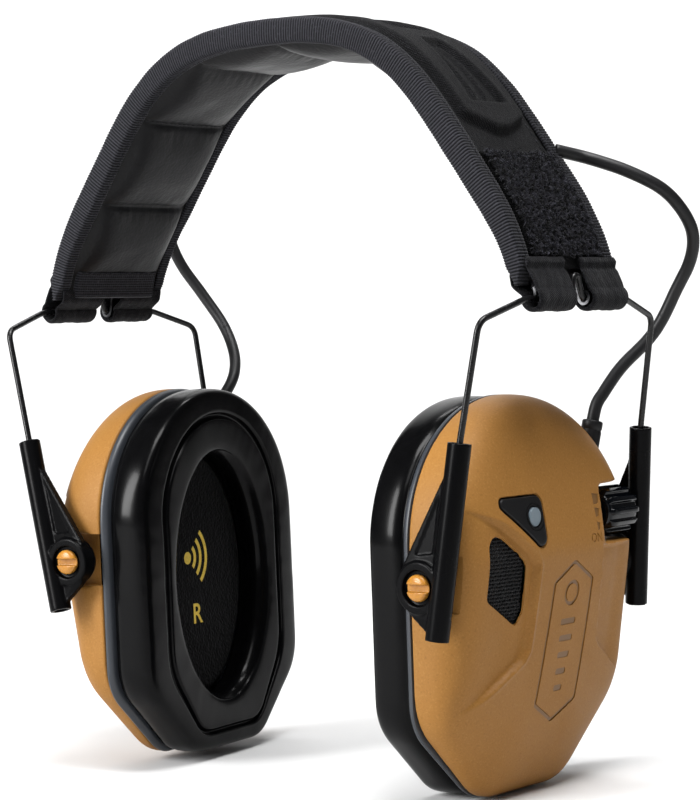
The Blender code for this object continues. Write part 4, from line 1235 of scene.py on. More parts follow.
def make_bezel(side, cup):
    """The triangular trim, with the mode button in the left one and a lamp hole in the right one."""
    trim = plate_solid(side + "_trim", round_polygon(BEZEL, 1.5), 2.4, 0.28, 0.45, stepped=False, spacing=0.5)
    u, w = BUTTON_CENTRE
    surface = float(dome_at(u, w))
    if side == "left":
        cut(trim, [local_rod("hole", (surface - 4, u, w), (surface + 3, u, w), BUTTON_RADIUS + 0.3, 48)])
        turn = np.linspace(0, 2 * math.pi, 65)[:-1]
        ring, inner = (np.column_stack([u + r * np.cos(turn), w + r * np.sin(turn)]) for r in (3.75, 3.4))
        cut(trim, [weld(ring_cutter("button_ring", ring, inner, 0.05, stepped=False))])
        seat(mode_button(surface, u, w), cup, "mode_button_body", "button_grey", "mode_button")
    else:
        cut(trim, [local_rod("lamp", (surface - 0.35, u + 1.6, w + 1.8), (surface + 3, u + 1.6, w + 1.8), 0.9, 24)])
    seat(set_material(trim, "bezel", 38), cup, side + "_cup", "black_satin", side + "_bezel")


def mode_button(surface, u, w):
    """The mode button: a rubber cap with a raised rim and a dished middle."""
    profile = [(-2.5, 0.4), (-2.5, 2.2), (-2.3, 2.5), (-0.4, 2.55), (0.16, 2.55), (0.30, 2.48), (0.36, 2.3),
               (0.36, 2.1), (0.33, 1.9), (0.32, 1.6), (0.34, 1.2), (0.37, 0.7), (0.38, 0.2)]
    item = lathe("mode_button_cap", np.array((surface, u, w)), X_AXIS, (Y_AXIS, Z_AXIS), profile, 64)
    return set_material(item, "button")


def make_knob(cup):
    """The ribbed volume knob."""
    n, w = KNOB_CENTRE
    angles = turns(288)
    rib = smoothstep(0.30, 0.72, 0.5 + 0.5 * np.cos(12 * angles))
    profile = [(19.7, 1.0, 0), (19.7, 2.8, 0), (25.4, 2.9, 0), (25.5, 4.6, 0), (25.7, 5.1, 0), (26.3, 5.2, 0),
               (26.5, 5.35, 0.1), (26.8, 5.5, 0.7), (27.3, 5.6, 1.0), (30.0, 5.6, 1.0), (34.0, 5.6, 1.0),
               (38.6, 5.6, 1.0), (39.6, 5.5, 0.95), (40.0, 5.35, 0.8), (40.35, 5.0, 0.55), (40.55, 4.6, 0.2),
               (40.6, 4.3, 0.0), (40.45, 3.9, 0), (40.2, 3.6, 0), (40.15, 2.2, 0), (40.2, 0.6, 0)]
    rows = []
    for along, radius, share in profile:
        reach = radius * 1.09 + 0.95 * share * rib
        rows.append(np.column_stack([n + reach * np.sin(angles), np.full(len(angles), along),
                                     w + reach * np.cos(angles)]))
    item = set_material(local_solid("volume_knob_ribbed", rows), "knob", 50)
    seat(item, cup, "volume_knob_body", "black_gloss", "volume_knob")


def make_relief(side, cup):
    """The moulded strain relief sleeve."""
    base, top = np.array(RELIEF_BASE), np.array(RELIEF_TOP)
    length = np.linalg.norm(top - base)
    axis = (top - base) / length
    across = unit(np.cross(axis, (1.0, 0.0, 0.0)))
    profile = [(0.0, 2.6), (0.2, 2.95), (length - 3.2, 2.95), (length - 2.9, 2.80), (length - 2.5, 2.80),
               (length - 2.2, 2.97), (length - 0.5, 2.97), (length - 0.15, 2.8), (length, 2.5), (length - 0.05, 2.1),
               (length - 0.5, 1.95), (length - 0.6, 0.5)]
    item = lathe(side + "_relief_sleeve", base, axis, (across, np.cross(axis, across)), profile, 48)
    seat(set_material(item, "rubber", 50), cup, side + "_cup", "black_rubber", side + "_strain_relief")


def make_studs(side, cup):
    """The slotted amber studs."""
    profile = [(38.4, 0.3), (38.4, 2.3), (48.3, 2.3), (48.3, 3.55), (49.1, 3.55), (49.6, 3.35), (50.0, 2.8),
               (50.2, 1.9), (50.3, 0.6)]
    for end, label in ((-1, "_front_stud"), (1, "_rear_stud")):
        item = lathe(side + label + "_cap", 0.0, end * Y_AXIS, (X_AXIS, Z_AXIS), profile, 64)
        low, high = sorted((end * 48.75, end * 52))
        cut(item, [local_box("slot", (-5.0, low, -1.0), (5.0, high, 1.0))])
        remesh(item, 0.16, 2)
        seat(set_material(item, "stud"), cup, side + "_cup", "orange_stud", side + label)


def pad_ring(side_inset, top_inset, base_inset, count=300):
    """An outline with its own insets at the sides, top and base."""
    points = cup_ring(CUP_HALF_WIDTH - side_inset, CUP_TOP - top_inset, CUP_BOTTOM + base_inset,
                      CUP_BOTTOM_HALF - side_inset * 0.2, CUP_CHAMFER - 2.0 + base_inset * 0.8, [7.0, 5.0, 5.0, 7.0])
    return match_angles(points, count)


def match_angles(points, count):
    """Points of a closed outline at the same directions from its middle, so that rings line up."""
    centre = np.array((0.0, -6.0))
    closed = resample(points, 0.4, closed=True)
    angle = np.unwrap(np.arctan2((closed[:, 1] - centre[1]) / 54.0, (closed[:, 0] - centre[0]) / 42.0))
    order = np.argsort(angle % (2 * math.pi))
    keys = (angle % (2 * math.pi))[order]
    wanted = np.linspace(0, 2 * math.pi, count, endpoint=False)
    keys = np.concatenate([keys - 2 * math.pi, keys, keys + 2 * math.pi])
    values = np.vstack([closed[order]] * 3)
    return np.stack([np.interp(wanted, keys, values[:, k]) for k in (0, 1)], axis=1)


def make_seat_ring(side, cup):
    """The rim between shell and cushion."""
    profile = [(RIM_N - 0.3, 0.45), (RIM_N - 0.45, 0.15), (RIM_N - 0.9, 0.02), (RIM_N - 1.7, 0.35),
               (RIM_N - 2.2, 0.85), (RING_N, 1.5)]
    rows = [level_row(n, pad_ring(inset, inset * 0.8, inset)) for n, inset in profile]
    inner = match_angles(oval(31.0, 44.0, CUP_MIDDLE - 2), 300)
    rows += [level_row(n, inner) for n in (RING_N, RIM_N - 0.3)]
    item = set_material(local_solid(side + "_seat_rim", rows, closed=True), "blue_grey", 40)
    seat(item, cup, side + "_cup", "blue_grey", side + "_seat_ring")


CUSHION_PROFILE = [
    (-10.2, 3.2, 2.6, 2.6), (-10.7, 2.1, 1.6, 1.6), (-11.6, 1.3, 0.9, 0.9), (-13.0, 0.8, 0.5, 0.5),
    (-15.0, 0.6, 0.3, 0.3), (-17.0, 0.65, 0.3, 0.3), (-19.0, 0.85, 0.35, 0.3), (-20.4, 1.15, 0.5, 0.4),
    (-21.3, 1.6, 0.75, 0.6), (-21.95, 2.3, 1.1, 0.9), (-22.4, 3.3, 1.7, 1.4), (-22.65, 4.6, 2.6, 2.2),
    (-22.8, 7.0, 4.4, 3.4), (-22.84, 9.4, 6.4, 4.4), (-22.8, 10.3, 7.3, 4.9), (-22.5, 10.8, 7.7, 5.15),
    (-21.9, 11.05, 7.9, 5.3), (-21.3, 11.3, 8.1, 5.45), (-21.15, 11.9, 8.5, 5.8), (-21.3, 12.6, 9.1, 6.2),
    (-21.9, 12.9, 9.4, 6.4), (-22.5, 13.1, 9.6, 6.6), (-22.8, 13.5, 9.9, 6.9), (-22.9, 14.2, 10.6, 7.5),
]
OPENING_PROFILE = [
    (-22.6, 26.6, 38.6), (-22.0, 25.2, 37.9), (-21.0, 23.8, 37.0), (-19.8, 22.9, 36.3), (-18.6, 22.7, 36.1),
    (-17.2, 23.2, 36.5), (-15.5, 24.2, 37.2), (-13.0, 25.2, 38.0), (-10.2, 26.2, 38.8),
]


def make_cushion(side, cup):
    """The ear cushion: a soft ring with a flat grooved face that rolls into the opening."""
    rows = [level_row(n, pad_ring(*insets)) for n, *insets in CUSHION_PROFILE]
    for n, half_width, half_height in OPENING_PROFILE:
        rows.append(level_row(n, match_angles(oval(half_width, half_height, EAR_MIDDLE), 300)))
    rows = soften_rows(np.array(rows))
    seed = 3 if side == "left" else 5
    flat = rows.reshape(-1, 3)
    ripple = wave_noise(flat, 34.0, seed, 2) * 0.16
    crease = wave_noise(flat, 9.0, seed + 1, 2) * 0.05
    depth = smoothstep(-10.4, -14.0, flat[:, 0])
    flat[:, 0] += (ripple + crease) * depth
    away = (flat - (-16.0, 0.0, -6.0)) * (0.0, 1.0, 1.0)
    away /= np.linalg.norm(away, axis=1)[:, None] + 1e-9
    flat += away * (ripple * 0.8 * depth)[:, None]
    item = set_material(local_solid(side + "_cushion_skin", list(flat.reshape(rows.shape)), closed=True), "vinyl")
    seat(item, cup, side + "_cup", "black_gloss", side + "_ear_cushion")
    refine(item)


def soften_rows(rows):
    """Insert a Catmull-Rom row between each pair of rows of a closed stack."""
    count = len(rows)
    result = []
    for i in range(count):
        a, b, c, d = rows[i - 1], rows[i], rows[(i + 1) % count], rows[(i + 2) % count]
        result.append(b)
        result.append((9 * (b + c) - a - d) / 16 if i < count - 2 else (b + c) / 2)
    return np.array(result)


def refine(item):
    """Add one level of subdivision."""
    step = item.modifiers.new("fine", "SUBSURF")
    step.levels = 1
    step.render_levels = 1


def make_liner(side, cup):
    """The foam disc in the cup, with its printed side letter and a plain sound mark."""
    centre = np.array((0.0, EAR_MIDDLE))
    spokes = oval(*FOAM_HALF, EAR_MIDDLE, 240) - centre
    back = RIM_N - 0.5
    levels = [(back, 0.15), (back, 0.6), (back, 1.0), (-11.6, 1.0), (-12.2, 0.985), (-12.5, 0.965)]
    rows = [level_row(n, centre + spokes * s) for n, s in levels]
    for s in np.linspace(0.94, 0.02, 46):
        points = centre + spokes * s
        rows.append(np.column_stack([-12.55 + 0.35 * (1 - s * s) + 0.10 * wave_noise(points, 6.0, 21, 3), points]))
    item = set_material(local_solid(side + "_foam_disc", rows), "foam")
    seat(item, cup, side + "_cup", "foam", side + "_foam_liner")
    make_print(side, cup)


def make_print(side, cup):
    """Yellow print on the foam: the side letter under three sound arcs and a dot."""
    reads = -1.0 if side == "left" else 1.0
    mesh = text_mesh("R" if side == "right" else "L", 8.6, 6, offset=0.00012)
    letter = np.array([v.co[:2] for v in mesh.vertices]) / MM
    groups = [(letter, [tuple(p.vertices) for p in mesh.polygons], (-0.6, -20.5))]
    for arc in ((4.0, 1.35, -48, 48), (7.0, 1.35, -48, 48), (10.0, 1.35, -48, 48), (0.0, 3.8, 0, 360)):
        groups.append((*arc_shape(*arc), (-4.6, -3.0)))
    verts, faces = [], []
    for points, polygons, centre in groups:
        u = (points[:, 0] + centre[0]) * reads
        w = points[:, 1] + centre[1]
        s2 = (u / FOAM_HALF[0]) ** 2 + ((w - EAR_MIDDLE) / FOAM_HALF[1]) ** 2
        faces.extend(offset_faces(len(verts), polygons))
        verts.extend(np.column_stack([-12.72 + 0.35 * (1 - s2), u, w]))
    item = new_object(side + "_print", np.array(verts) * MM, faces, MATS["yellow"])
    seat(item, cup, side + "_cup", "foam")


def arc_shape(radius, width, start, end):
    """A thick arc as (points, faces)."""
    steps = 28
    angles = np.radians(np.linspace(start, end, steps + 1))
    inner = max(radius - width / 2, 0.02)
    outer = radius + width / 2
    points = np.vstack([np.column_stack([r * np.cos(angles), r * np.sin(angles)]) for r in (inner, outer)])
    faces = [(i, i + 1, steps + 2 + i, steps + 1 + i) for i in range(steps)]
    return points, faces


def make_door(cup):
    """The battery door, with four grip lines at its top."""
    door = plate_solid("battery_door_skin", round_polygon(DOOR, 2.0), 1.75, 0.0, 0.4, stepped=False, spacing=0.6)
    strips = [bar_shape(1.0, 11.5, 20.0 - 1.7 * k, 0.4, 0.35, 3) for k in range(4)]
    cut(door, [patch_tool("grip", strip, 0.5, stepped=False) for strip in strips])
    seat(set_material(door, "tan", 38), cup, "battery_door_body", "tan_shell", "battery_door")


# ---------------------------------------------------------------- arms and bails
def boss_centre(cup, end):
    """The middle of one arm's boss in the loop frame."""
    toe = math.radians(cup["toe"])
    reach = PIVOT_HALF_SPAN * end
    x, _, z = cup["pivot"]
    return np.array((x - math.sin(toe) * reach, math.cos(toe) * reach, z))


def tube_direction(cup, end):
    """The unit direction that one arm's tube points, upward."""
    slope = cup["front_slope"] if end < 0 else cup["rear_slope"]
    return unit(np.array((cup["sign"] * slope, -end * SPLAY, 1.0)))


def arm_axes(cup, end):
    """Unit axes of one arm: outboard, along the pivot away from the cup, and up."""
    toe = math.radians(cup["toe"])
    away = np.array((-math.sin(toe), math.cos(toe), 0.0)) * end
    tube = tube_direction(cup, end)
    up = unit(tube - away * (tube @ away))
    outboard = np.cross(away, up) * (cup["sign"] * end)
    return np.array((outboard, away, up))


def tube_point(cup, end, along):
    """A point on a tube's axis in the loop frame."""
    return boss_centre(cup, end) + arm_axes(cup, end)[0] * TUBE_OFFSET + tube_direction(cup, end) * along


def make_arm(side, cup, end):
    """One moulded arm with a recessed web, a flanged boss and a socketed tube."""
    axes = arm_axes(cup, end)
    tube = axes @ tube_direction(cup, end)
    foot = np.array((TUBE_OFFSET, 0.0, 0.0))
    lean = tube[1] / tube[2]

    def up_tube(low, high, radius, sides=40):
        return local_rod("tube", foot + tube * low, foot + tube * high, radius, sides)

    def sheet(name, points, low, high):
        share = np.clip((points[:, 0] + 4.0) / 9.0, 0, 1)
        return local_solid(name, [np.column_stack([points[:, 0], y + lean * points[:, 1] * share, points[:, 1]])
                                  for y in (low, high)])

    boss = lathe("boss", 0.0, Y_AXIS, (X_AXIS, Z_AXIS), [(-4.0, 6.2), (-2.4, 7.0), (1.6, 7.0), (2.3, 6.75)], 56)
    outline_web = np.array([(TUBE_OFFSET, 30.5), (4.2, 30.5), (-6.2, 4.4), (-6.6, 0.0), (-6.0, -3.4), (-2.2, -7.6),
                            (3.9, -11.2), (TUBE_OFFSET, -11.2)])
    item = up_tube(TUBE_BOTTOM, TUBE_TOP, TUBE_RADIUS, 56)
    node = side + ("_front_arm" if end < 0 else "_rear_arm")
    item.name = node + "_body"
    cut(item, [weld(sheet("web", outline_web, -1.2, 1.2)), boss], "UNION")
    recess = round_polygon([(3.0, 25.0), (3.0, 9.2), (-2.6, 8.0)], 1.0, 4)
    cut(item, [local_rod("counterbore", (0, 0.75, 0), (0, 4.0, 0), 4.75, 48),
               local_rod("hole", (0, -6, 0), (0, 2, 0), 2.95, 32), up_tube(8.0, TUBE_TOP + 2, 2.35),
               up_tube(TUBE_BOTTOM - 2, TUBE_BOTTOM + 3.5, 2.0), sheet("pocket", recess, 0.5, 4.0)])
    remesh(item, 0.24, 4)
    local = coordinates(item.data) / MM
    move_vertices(item.data, to_world(local @ axes + boss_centre(cup, end)))
    finish_piece(set_material(outward(item), "arm"), side + "_yoke", "black_satin", node)


def make_bail(side, cup):
    """The bent spring wire."""
    sign = cup["sign"]
    half = []
    for end in (-1, 1):
        bend_x = cup["front_bend_x"] if end < 0 else cup["rear_bend_x"]
        half.append([tube_point(cup, end, TUBE_TOP - WIRE_IN_TUBE), tube_point(cup, end, TUBE_TOP),
                     np.array((sign * bend_x, end * BEND_Y, -BEND_DROP)),
                     np.array((sign * LOOP_X, end * ENTRY_Y, 0.0)),
                     np.array((sign * LOOP_X, end * 2.9, 0.0)), np.array((sign * LOOP_X, end * 1.0, 6.0))])
    radii = [2.6, 3.2, 2.6, 0.9, 0.9]
    path = round_corners(half[0] + list(reversed(half[1])), radii + list(reversed(radii)), 8)
    path = path[np.concatenate([[True], np.linalg.norm(np.diff(path, axis=0), axis=1) > 1e-4])]
    item = tube_mesh(side + "_bail_wire", path, WIRE_RADIUS, MATS["wire"], 18, 0.2)
    finish_piece(item, side + "_bail", "black_wire", side + "_wire_bail")


# ---------------------------------------------------------------- headband
BAND_HALF = 21.6
PAD_SEAMS = (26.0, 47.4, 68.7, 90.0, 111.3, 132.6, 154.0)
PAD_ENDS = (3.4, 176.6)
PATCH_ENDS = (7.3, 29.5)
PATCH_HALF = 16.6
PILE_COUNT = 4200
PILE_RADIUS = 0.13
PILE_REACH = 83.0
HEM_ENDS = (3.0, 9.6)
HEM_HALF = 17.4


def outer_arc(radians):
    """The band's outer face (x, z) at angles above the +X side."""
    reach = sum(c * np.cos(2 * k * radians) for k, c in enumerate(BAND_HARMONICS))
    return np.stack([reach * np.cos(radians), reach * np.sin(radians)], axis=-1)


def band_xyz(degrees, inset, y):
    """Points on the band in the loop frame."""
    degrees, inset, y = np.broadcast_arrays(degrees, inset, y)
    radians = np.radians(degrees)
    tangent = outer_arc(radians + 0.002) - outer_arc(radians - 0.002)
    tangent /= np.linalg.norm(tangent, axis=-1)[..., None]
    place = outer_arc(radians) + np.stack([-tangent[..., 1], tangent[..., 0]], axis=-1) * inset[..., None]
    return np.stack([place[..., 0], y, place[..., 1]], axis=-1)


def band_angles(start, end, spacing):
    """Angles at even arc spacing in millimetres along the band."""
    fine = np.linspace(start, end, 1200)
    along = travel(outer_arc(np.radians(fine)))
    count = max(2, int(round(along[-1] / spacing)))
    return np.interp(np.linspace(0, along[-1], count + 1), along, fine)


def arc_length(degrees):
    """Distance along the outer face from the top, in millimetres."""
    fine = np.linspace(0, 180, 1801)
    along = travel(outer_arc(np.radians(fine)))
    return np.interp(degrees, fine, along) - along[900]


def cloth_points(degrees, y):
    """Flat (along the band, across it) points of the cloth, in millimetres."""
    return np.stack([arc_length(degrees).ravel(), y.ravel()], axis=1)


def band_grid(start, end, spacing, half, count):
    """Angles along the band, places across it, and both of them as grids."""
    angles = band_angles(start, end, spacing)
    y = np.linspace(-half, half, count)
    return (angles, y, *np.meshgrid(angles, y, indexing="ij"))


def band_slab(name, angles, y, top, under):
    """A closed slab on the band between two inset fields on the same grid."""
    rows, cols = len(angles), len(y)
    grid_a, grid_y = np.meshgrid(angles, y, indexing="ij")
    upper = band_xyz(grid_a, top, grid_y).reshape(-1, 3)
    lower = band_xyz(grid_a, under, grid_y).reshape(-1, 3)
    count = rows * cols
    faces = grid_faces(rows, cols)
    faces += [tuple(i + count for i in reversed(f)) for f in grid_faces(rows, cols)]
    edge = [r * cols for r in range(rows)] + [(rows - 1) * cols + c for c in range(1, cols)]
    edge += [r * cols + cols - 1 for r in range(rows - 2, -1, -1)] + [c for c in range(cols - 2, 0, -1)]
    for a, b in zip(edge, edge[1:] + edge[:1]):
        faces.append((a, b, b + count, a + count))
    item = outward(new_object(name, to_world(np.vstack([upper, lower])), faces))
    flat = cloth_points(grid_a, grid_y) * MM
    return set_uv(item, np.vstack([flat, flat]))


def make_cover():
    """The padded top cover with its raised spine, pointed ends and pressed slots."""
    angles, y, grid_a, grid_y = band_grid(5.4, 174.6, 0.75, BAND_HALF, 68)
    points = cloth_points(grid_a, grid_y)
    across = np.abs(points[:, 1])
    end = 79.5
    spine = round_polygon([(end, 3.0), (end - 5.0, 15.3), (-end + 5.0, 15.3), (-end, 3.0), (-end, -3.0),
                           (-end + 5.0, -15.3), (end - 5.0, -15.3), (end, -3.0)], 2.0)
    inside = -polygon_distance(points, spine)
    rise = 2.7 * smoothstep(-0.2, 2.0, inside)
    for near, far in ((-69.5, -43.0), (-36.0, -9.5), (36.0, 9.5), (69.5, 43.0)):
        slot_shape = round_polygon([(far, -4.4), (near, -8.8), (near, 8.8), (far, 4.4)], 1.0)
        depth = -polygon_distance(points, slot_shape)
        rise -= 1.75 * smoothstep(-0.25, 0.8, depth)
        rise += 1.0 * smoothstep(1.4, 3.4, depth) * np.exp(-((across - 2.5) / 0.8) ** 2)
        rise += 0.22 * np.exp(-((depth + 1.0) / 0.9) ** 2) * smoothstep(0.5, 3.0, inside)
    outside = smoothstep(0.3, -1.0, inside)
    span = smoothstep(end + 2, end - 12, np.abs(points[:, 0]))
    rise += outside * span * 0.55 * np.exp(-((across - 17.0) / 0.75) ** 2)
    rise += outside * 0.10 * wave_noise(points * (1.0, 0.7), 9.0, 31, 2)
    rise += 0.07 * wave_noise(points, 21.0, 33, 2)
    rise *= smoothstep(21.6, 18.6, across) * 0.9 + 0.1
    top = np.maximum(1.3 - rise.reshape(grid_a.shape), -1.6)
    item = set_material(band_slab("top_cover", angles, y, top, np.full(grid_a.shape, 2.3)), "top_fabric")
    finish_piece(item, "headband", "black_fabric", "headband_cover")
    places = band_angles(32, 148, 2.6)
    merge_stitches("cover_stitches", [stitch_row(places, offset, 1.3, 1.5) for offset in (-16.2, 16.2)])


def stitch_row(angles, y, inset, length):
    """Places for stitches along the band: (start, end) pairs in the loop frame, just proud of a surface."""
    half = math.degrees(length / 2 / 82.0)
    return [band_xyz(np.array([a - half, a + half]), inset - 0.05, y) for a in angles]


def merge_stitches(name, rows, radius=0.2):
    """One mesh of small thread capsules on the headband."""
    sides = 6
    angles = turns(sides)
    verts, faces = [], []
    for start, end in (pair for pairs in rows for pair in pairs):
        axis = (end - start) / np.linalg.norm(end - start)
        across = unit(np.cross(axis, (0.31, 0.2, 0.93)))
        pair = (across, np.cross(axis, across))
        faces.extend(offset_faces(len(verts), ring_faces(5, sides)))
        for t, share in ((0.0, 0.35), (0.12, 0.85), (0.5, 1.0), (0.88, 0.85), (1.0, 0.35)):
            verts.extend(circle_row(start + (end - start) * t, pair, radius * share, angles))
    item = outward(new_object(name, to_world(verts), faces, MATS["thread"]))
    return finish_piece(item, "headband", "black_fabric")


def end_taper(degrees):
    """0 at the band's two ends, 1 well clear of them: the padding thins towards the loops."""
    return smoothstep(3.0, 26.0, np.minimum(degrees, 180.0 - degrees))


PAD_PUFF = 4.4
PAD_MOVE_LIMIT = 0.7


def pad_inset(points):
    """The pad's inner face as an inset over (angle, y): flat edges, crowned pillows, sewn seams."""
    degrees, y = points[:, 0], np.abs(points[:, 1])
    edges = np.array((PAD_ENDS[0] + 5.2,) + PAD_SEAMS + (PAD_ENDS[1] - 5.2,))
    index = np.clip(np.searchsorted(edges, degrees) - 1, 0, len(edges) - 2)
    share = np.clip((degrees - edges[index]) / (edges[index + 1] - edges[index]), 0, 1)
    crown_along = np.sin(math.pi * share) ** 0.52
    ends = (degrees < edges[0]) | (degrees > edges[-1])
    crown_along = np.where(ends, 0.0, crown_along)
    across = np.clip(1 - (y / 18.75) ** 5, 0, 1) ** 0.6
    flat = 4.3 + 1.3 * end_taper(degrees) + (1.1 + 0.4 * end_taper(degrees)) * across
    return flat, PAD_PUFF * crown_along * across


def make_pad():
    """The leatherette pad: pillows blown up by a short cloth simulation between pinned seams."""
    angles, y, grid_a, grid_y = band_grid(*PAD_ENDS, 1.5, BAND_HALF, 33)
    flat, puff = pad_inset(np.stack([grid_a.ravel(), grid_y.ravel()], axis=1))
    start = (flat + puff * 0.72).reshape(grid_a.shape)
    target = (flat + puff).reshape(grid_a.shape)
    item = band_slab("pad_skin", angles, y, np.full(grid_a.shape, 3.95), target)
    count = grid_a.size
    goal = np.array([v.co[:] for v in item.data.vertices])
    begin = goal.copy()
    begin[count:] = to_world(band_xyz(grid_a, start, grid_y).reshape(-1, 3))
    move_vertices(item.data, begin)
    free = smoothstep(0.03, 0.35, puff / PAD_PUFF)
    inflate(item, np.concatenate([np.ones(count), 1 - 0.985 * free]))
    move = np.array([v.co[:] for v in item.data.vertices]) - goal
    field = move[count:].reshape(*grid_a.shape, 3)
    for _ in range(5):
        padded = np.pad(field, ((1, 1), (1, 1), (0, 0)), mode="edge")
        around = padded[:-2, 1:-1] + padded[2:, 1:-1] + padded[1:-1, :-2] + padded[1:-1, 2:]
        field = (around + 2 * field) / 6
    move[count:] = field.reshape(-1, 3)
    size = np.linalg.norm(move, axis=1)
    move *= (np.minimum(size, PAD_MOVE_LIMIT * MM) / np.maximum(size, 1e-9))[:, None]
    keep = np.concatenate([np.zeros(count), free])[:, None]
    move_vertices(item.data, goal + move * keep)
    refine(item)
    applied(item)
    sew_pad(item)
    item.data.shade_smooth()
    finish_piece(set_material(item, "leather"), "headband", "black_leather", "headband_pad")
    rows = [[band_xyz(seam, pad_edge(seam, y_at) - 0.02, np.array([y_at - 0.65, y_at + 0.65]))
             for y_at in np.arange(-16.6, 16.7, 2.0)] for seam in PAD_SEAMS]
    merge_stitches("pad_stitches", rows)


def inflate(item, pins):
    """Run Cloth with inside pressure, held at the pinned vertices, and keep the result."""
    group = item.vertex_groups.new(name="pins")
    for index, weight in enumerate(pins):
        if weight > 0.02:
            group.add([index], float(weight), "REPLACE")
    step = item.modifiers.new("cloth", "CLOTH")
    settings = step.settings
    settings.quality = 6
    settings.mass = 0.12
    settings.tension_stiffness = 12
    settings.compression_stiffness = 8
    settings.shear_stiffness = 4
    settings.bending_stiffness = 6.0
    settings.use_pressure = True
    settings.uniform_pressure_force = 4.0
    settings.shrink_min = -0.01
    settings.vertex_group_mass = "pins"
    settings.pin_stiffness = 1.0
    settings.effector_weights.gravity = 0.0
    step.collision_settings.use_collision = False
    step.point_cache.frame_start = 1
    step.point_cache.frame_end = 20
    scene = bpy.context.scene
    for number in range(1, 21):
        scene.frame_set(number)
        bpy.context.view_layer.update()
    applied(item)
    item.vertex_groups.clear()
    scene.frame_set(1)


def pad_edge(degrees, y):
    """The inset of the pad's sewn face at one place."""
    return float(pad_inset(np.array([[degrees, y]]))[0][0])


def sew_pad(item):
    """Press the seam lines and fine gathers into the pad's inner face."""
    world = coordinates(item.data)
    local = world / MM - (0.0, 0.0, LOOP_HEIGHT)
    angle = np.degrees(np.arctan2(local[:, 2], local[:, 0]))
    reach = np.hypot(local[:, 0], local[:, 2])
    inner = smoothstep(79.0, 77.5, reach)
    out = local * (1.0, 0.0, 1.0) / np.maximum(reach, 1e-6)[:, None]
    width = np.clip(1 - (np.abs(local[:, 1]) / 18.6) ** 8, 0, 1)
    push = 0.06 * wave_noise(local, 19.0, 57, 2)
    for seam in PAD_SEAMS:
        place = band_xyz(seam, 7.0, 0.0)
        at = math.degrees(math.atan2(place[2], place[0]))
        distance = (angle - at) * math.radians(1) * 75.0
        push += 0.75 * np.exp(-(distance / 0.7) ** 2)
        gather = np.exp(-((np.abs(distance) - 2.6) / 2.0) ** 2)
        push += 0.06 * gather * np.sin(local[:, 1] * 1.9 + 3.0 * wave_noise(local, 12.0, int(seam), 2))
    move_vertices(item.data, world + out * (push * inner * width)[:, None] * MM)


def make_binding(side, end):
    """Ribbed tape folded over one edge of the band."""
    path = [(17.9, 0.75), (18.1, 0.15), (18.8, 0.0)]
    path += [(y, 0.0) for y in np.linspace(19.6, 21.6, 4)]
    path += [(21.7 + 1.2 * math.sin(a), 1.2 - 1.2 * math.cos(a)) for a in np.linspace(0.25, math.pi / 2, 6)]
    path += [(22.9 + 0.12 * math.sin(math.pi * t), 1.2 + 4.6 * t) for t in np.linspace(0.1, 1, 9)]
    path += [(21.7 + 1.2 * math.cos(a), 5.8 + 1.2 * math.sin(a)) for a in np.linspace(0.25, math.pi / 2, 6)]
    path += [(21.0, 7.0), (20.2, 7.0), (19.5, 7.0), (18.9, 6.85), (18.75, 6.4)]
    inner = [(18.9, 5.9), (21.2, 5.7), (21.9, 5.0), (21.9, 2.0), (21.4, 1.1), (18.2, 1.15)]
    section = np.array(path + inner)
    weight = np.array([0.3, 0.8, 1.0] + [1.0] * (len(path) - 6) + [1.0, 0.8, 0.4] + [0.0] * len(inner))
    core = np.stack([np.clip(section[:, 0], 0, 21.4), np.clip(section[:, 1], 1.3, 5.7)], axis=1)
    normal = section - core
    normal /= np.maximum(np.linalg.norm(normal, axis=1), 1e-6)[:, None]
    angles = band_angles(2.4, 177.6, 0.18)
    along = arc_length(angles)
    relief = 0.17 * (2 * (0.5 + 0.5 * np.sin(2 * math.pi * along[:, None] / 0.9)) ** 0.7 - 1)
    groove = -0.16 * np.exp(-((section[:, 0] - 19.6) / 0.35) ** 2) * (section[:, 1] < 1)
    groove = groove - 0.16 * np.exp(-((section[:, 0] - 20.1) / 0.35) ** 2) * (section[:, 1] > 6)
    sag = 0.12 * wave_noise(np.stack([along, along * 0], axis=1), 17.0, 71 + end, 2)
    shift = relief * weight + (groove * (weight > 0.5))[None, :] + sag[:, None] * weight
    y = section[None, :, 0] + normal[None, :, 0] * shift
    inset = section[None, :, 1] + normal[None, :, 1] * shift
    inset = inset * np.where(section[None, :, 1] > 0, 1 - 0.26 * (1 - end_taper(angles))[:, None], 1.0)
    pinch = smoothstep(2.4, 6.5, np.minimum(angles, 180.0 - angles))[:, None]
    inset = 2.4 + (inset - 2.4) * (0.30 + 0.70 * pinch)
    verts = to_world(band_xyz(angles[:, None], inset, end * y).reshape(-1, 3))
    item = outward(new_object(side + "_tape", verts, ring_faces(len(angles), len(section)), MATS["grosgrain"]))
    uv = np.stack(np.broadcast_arrays(along[:, None], travel(section)[None, :]), axis=-1).reshape(-1, 2) * MM
    set_uv(item, uv)
    finish_piece(item, "headband", "black_fabric", side + "_binding")
    rows = [stitch_row(band_angles(4.0, 176.0, 2.5), end * 19.6, 0.0, 1.5),
            stitch_row(band_angles(28.0, 152.0, 2.5), end * 20.1, 7.02, 1.5)]
    merge_stitches(side + "_tape_stitches", rows, 0.17)


def at_end(degrees, mirror):
    """An angle on the band's +X side, or its mirror image on the other side."""
    return degrees if mirror > 0 else 180 - degrees


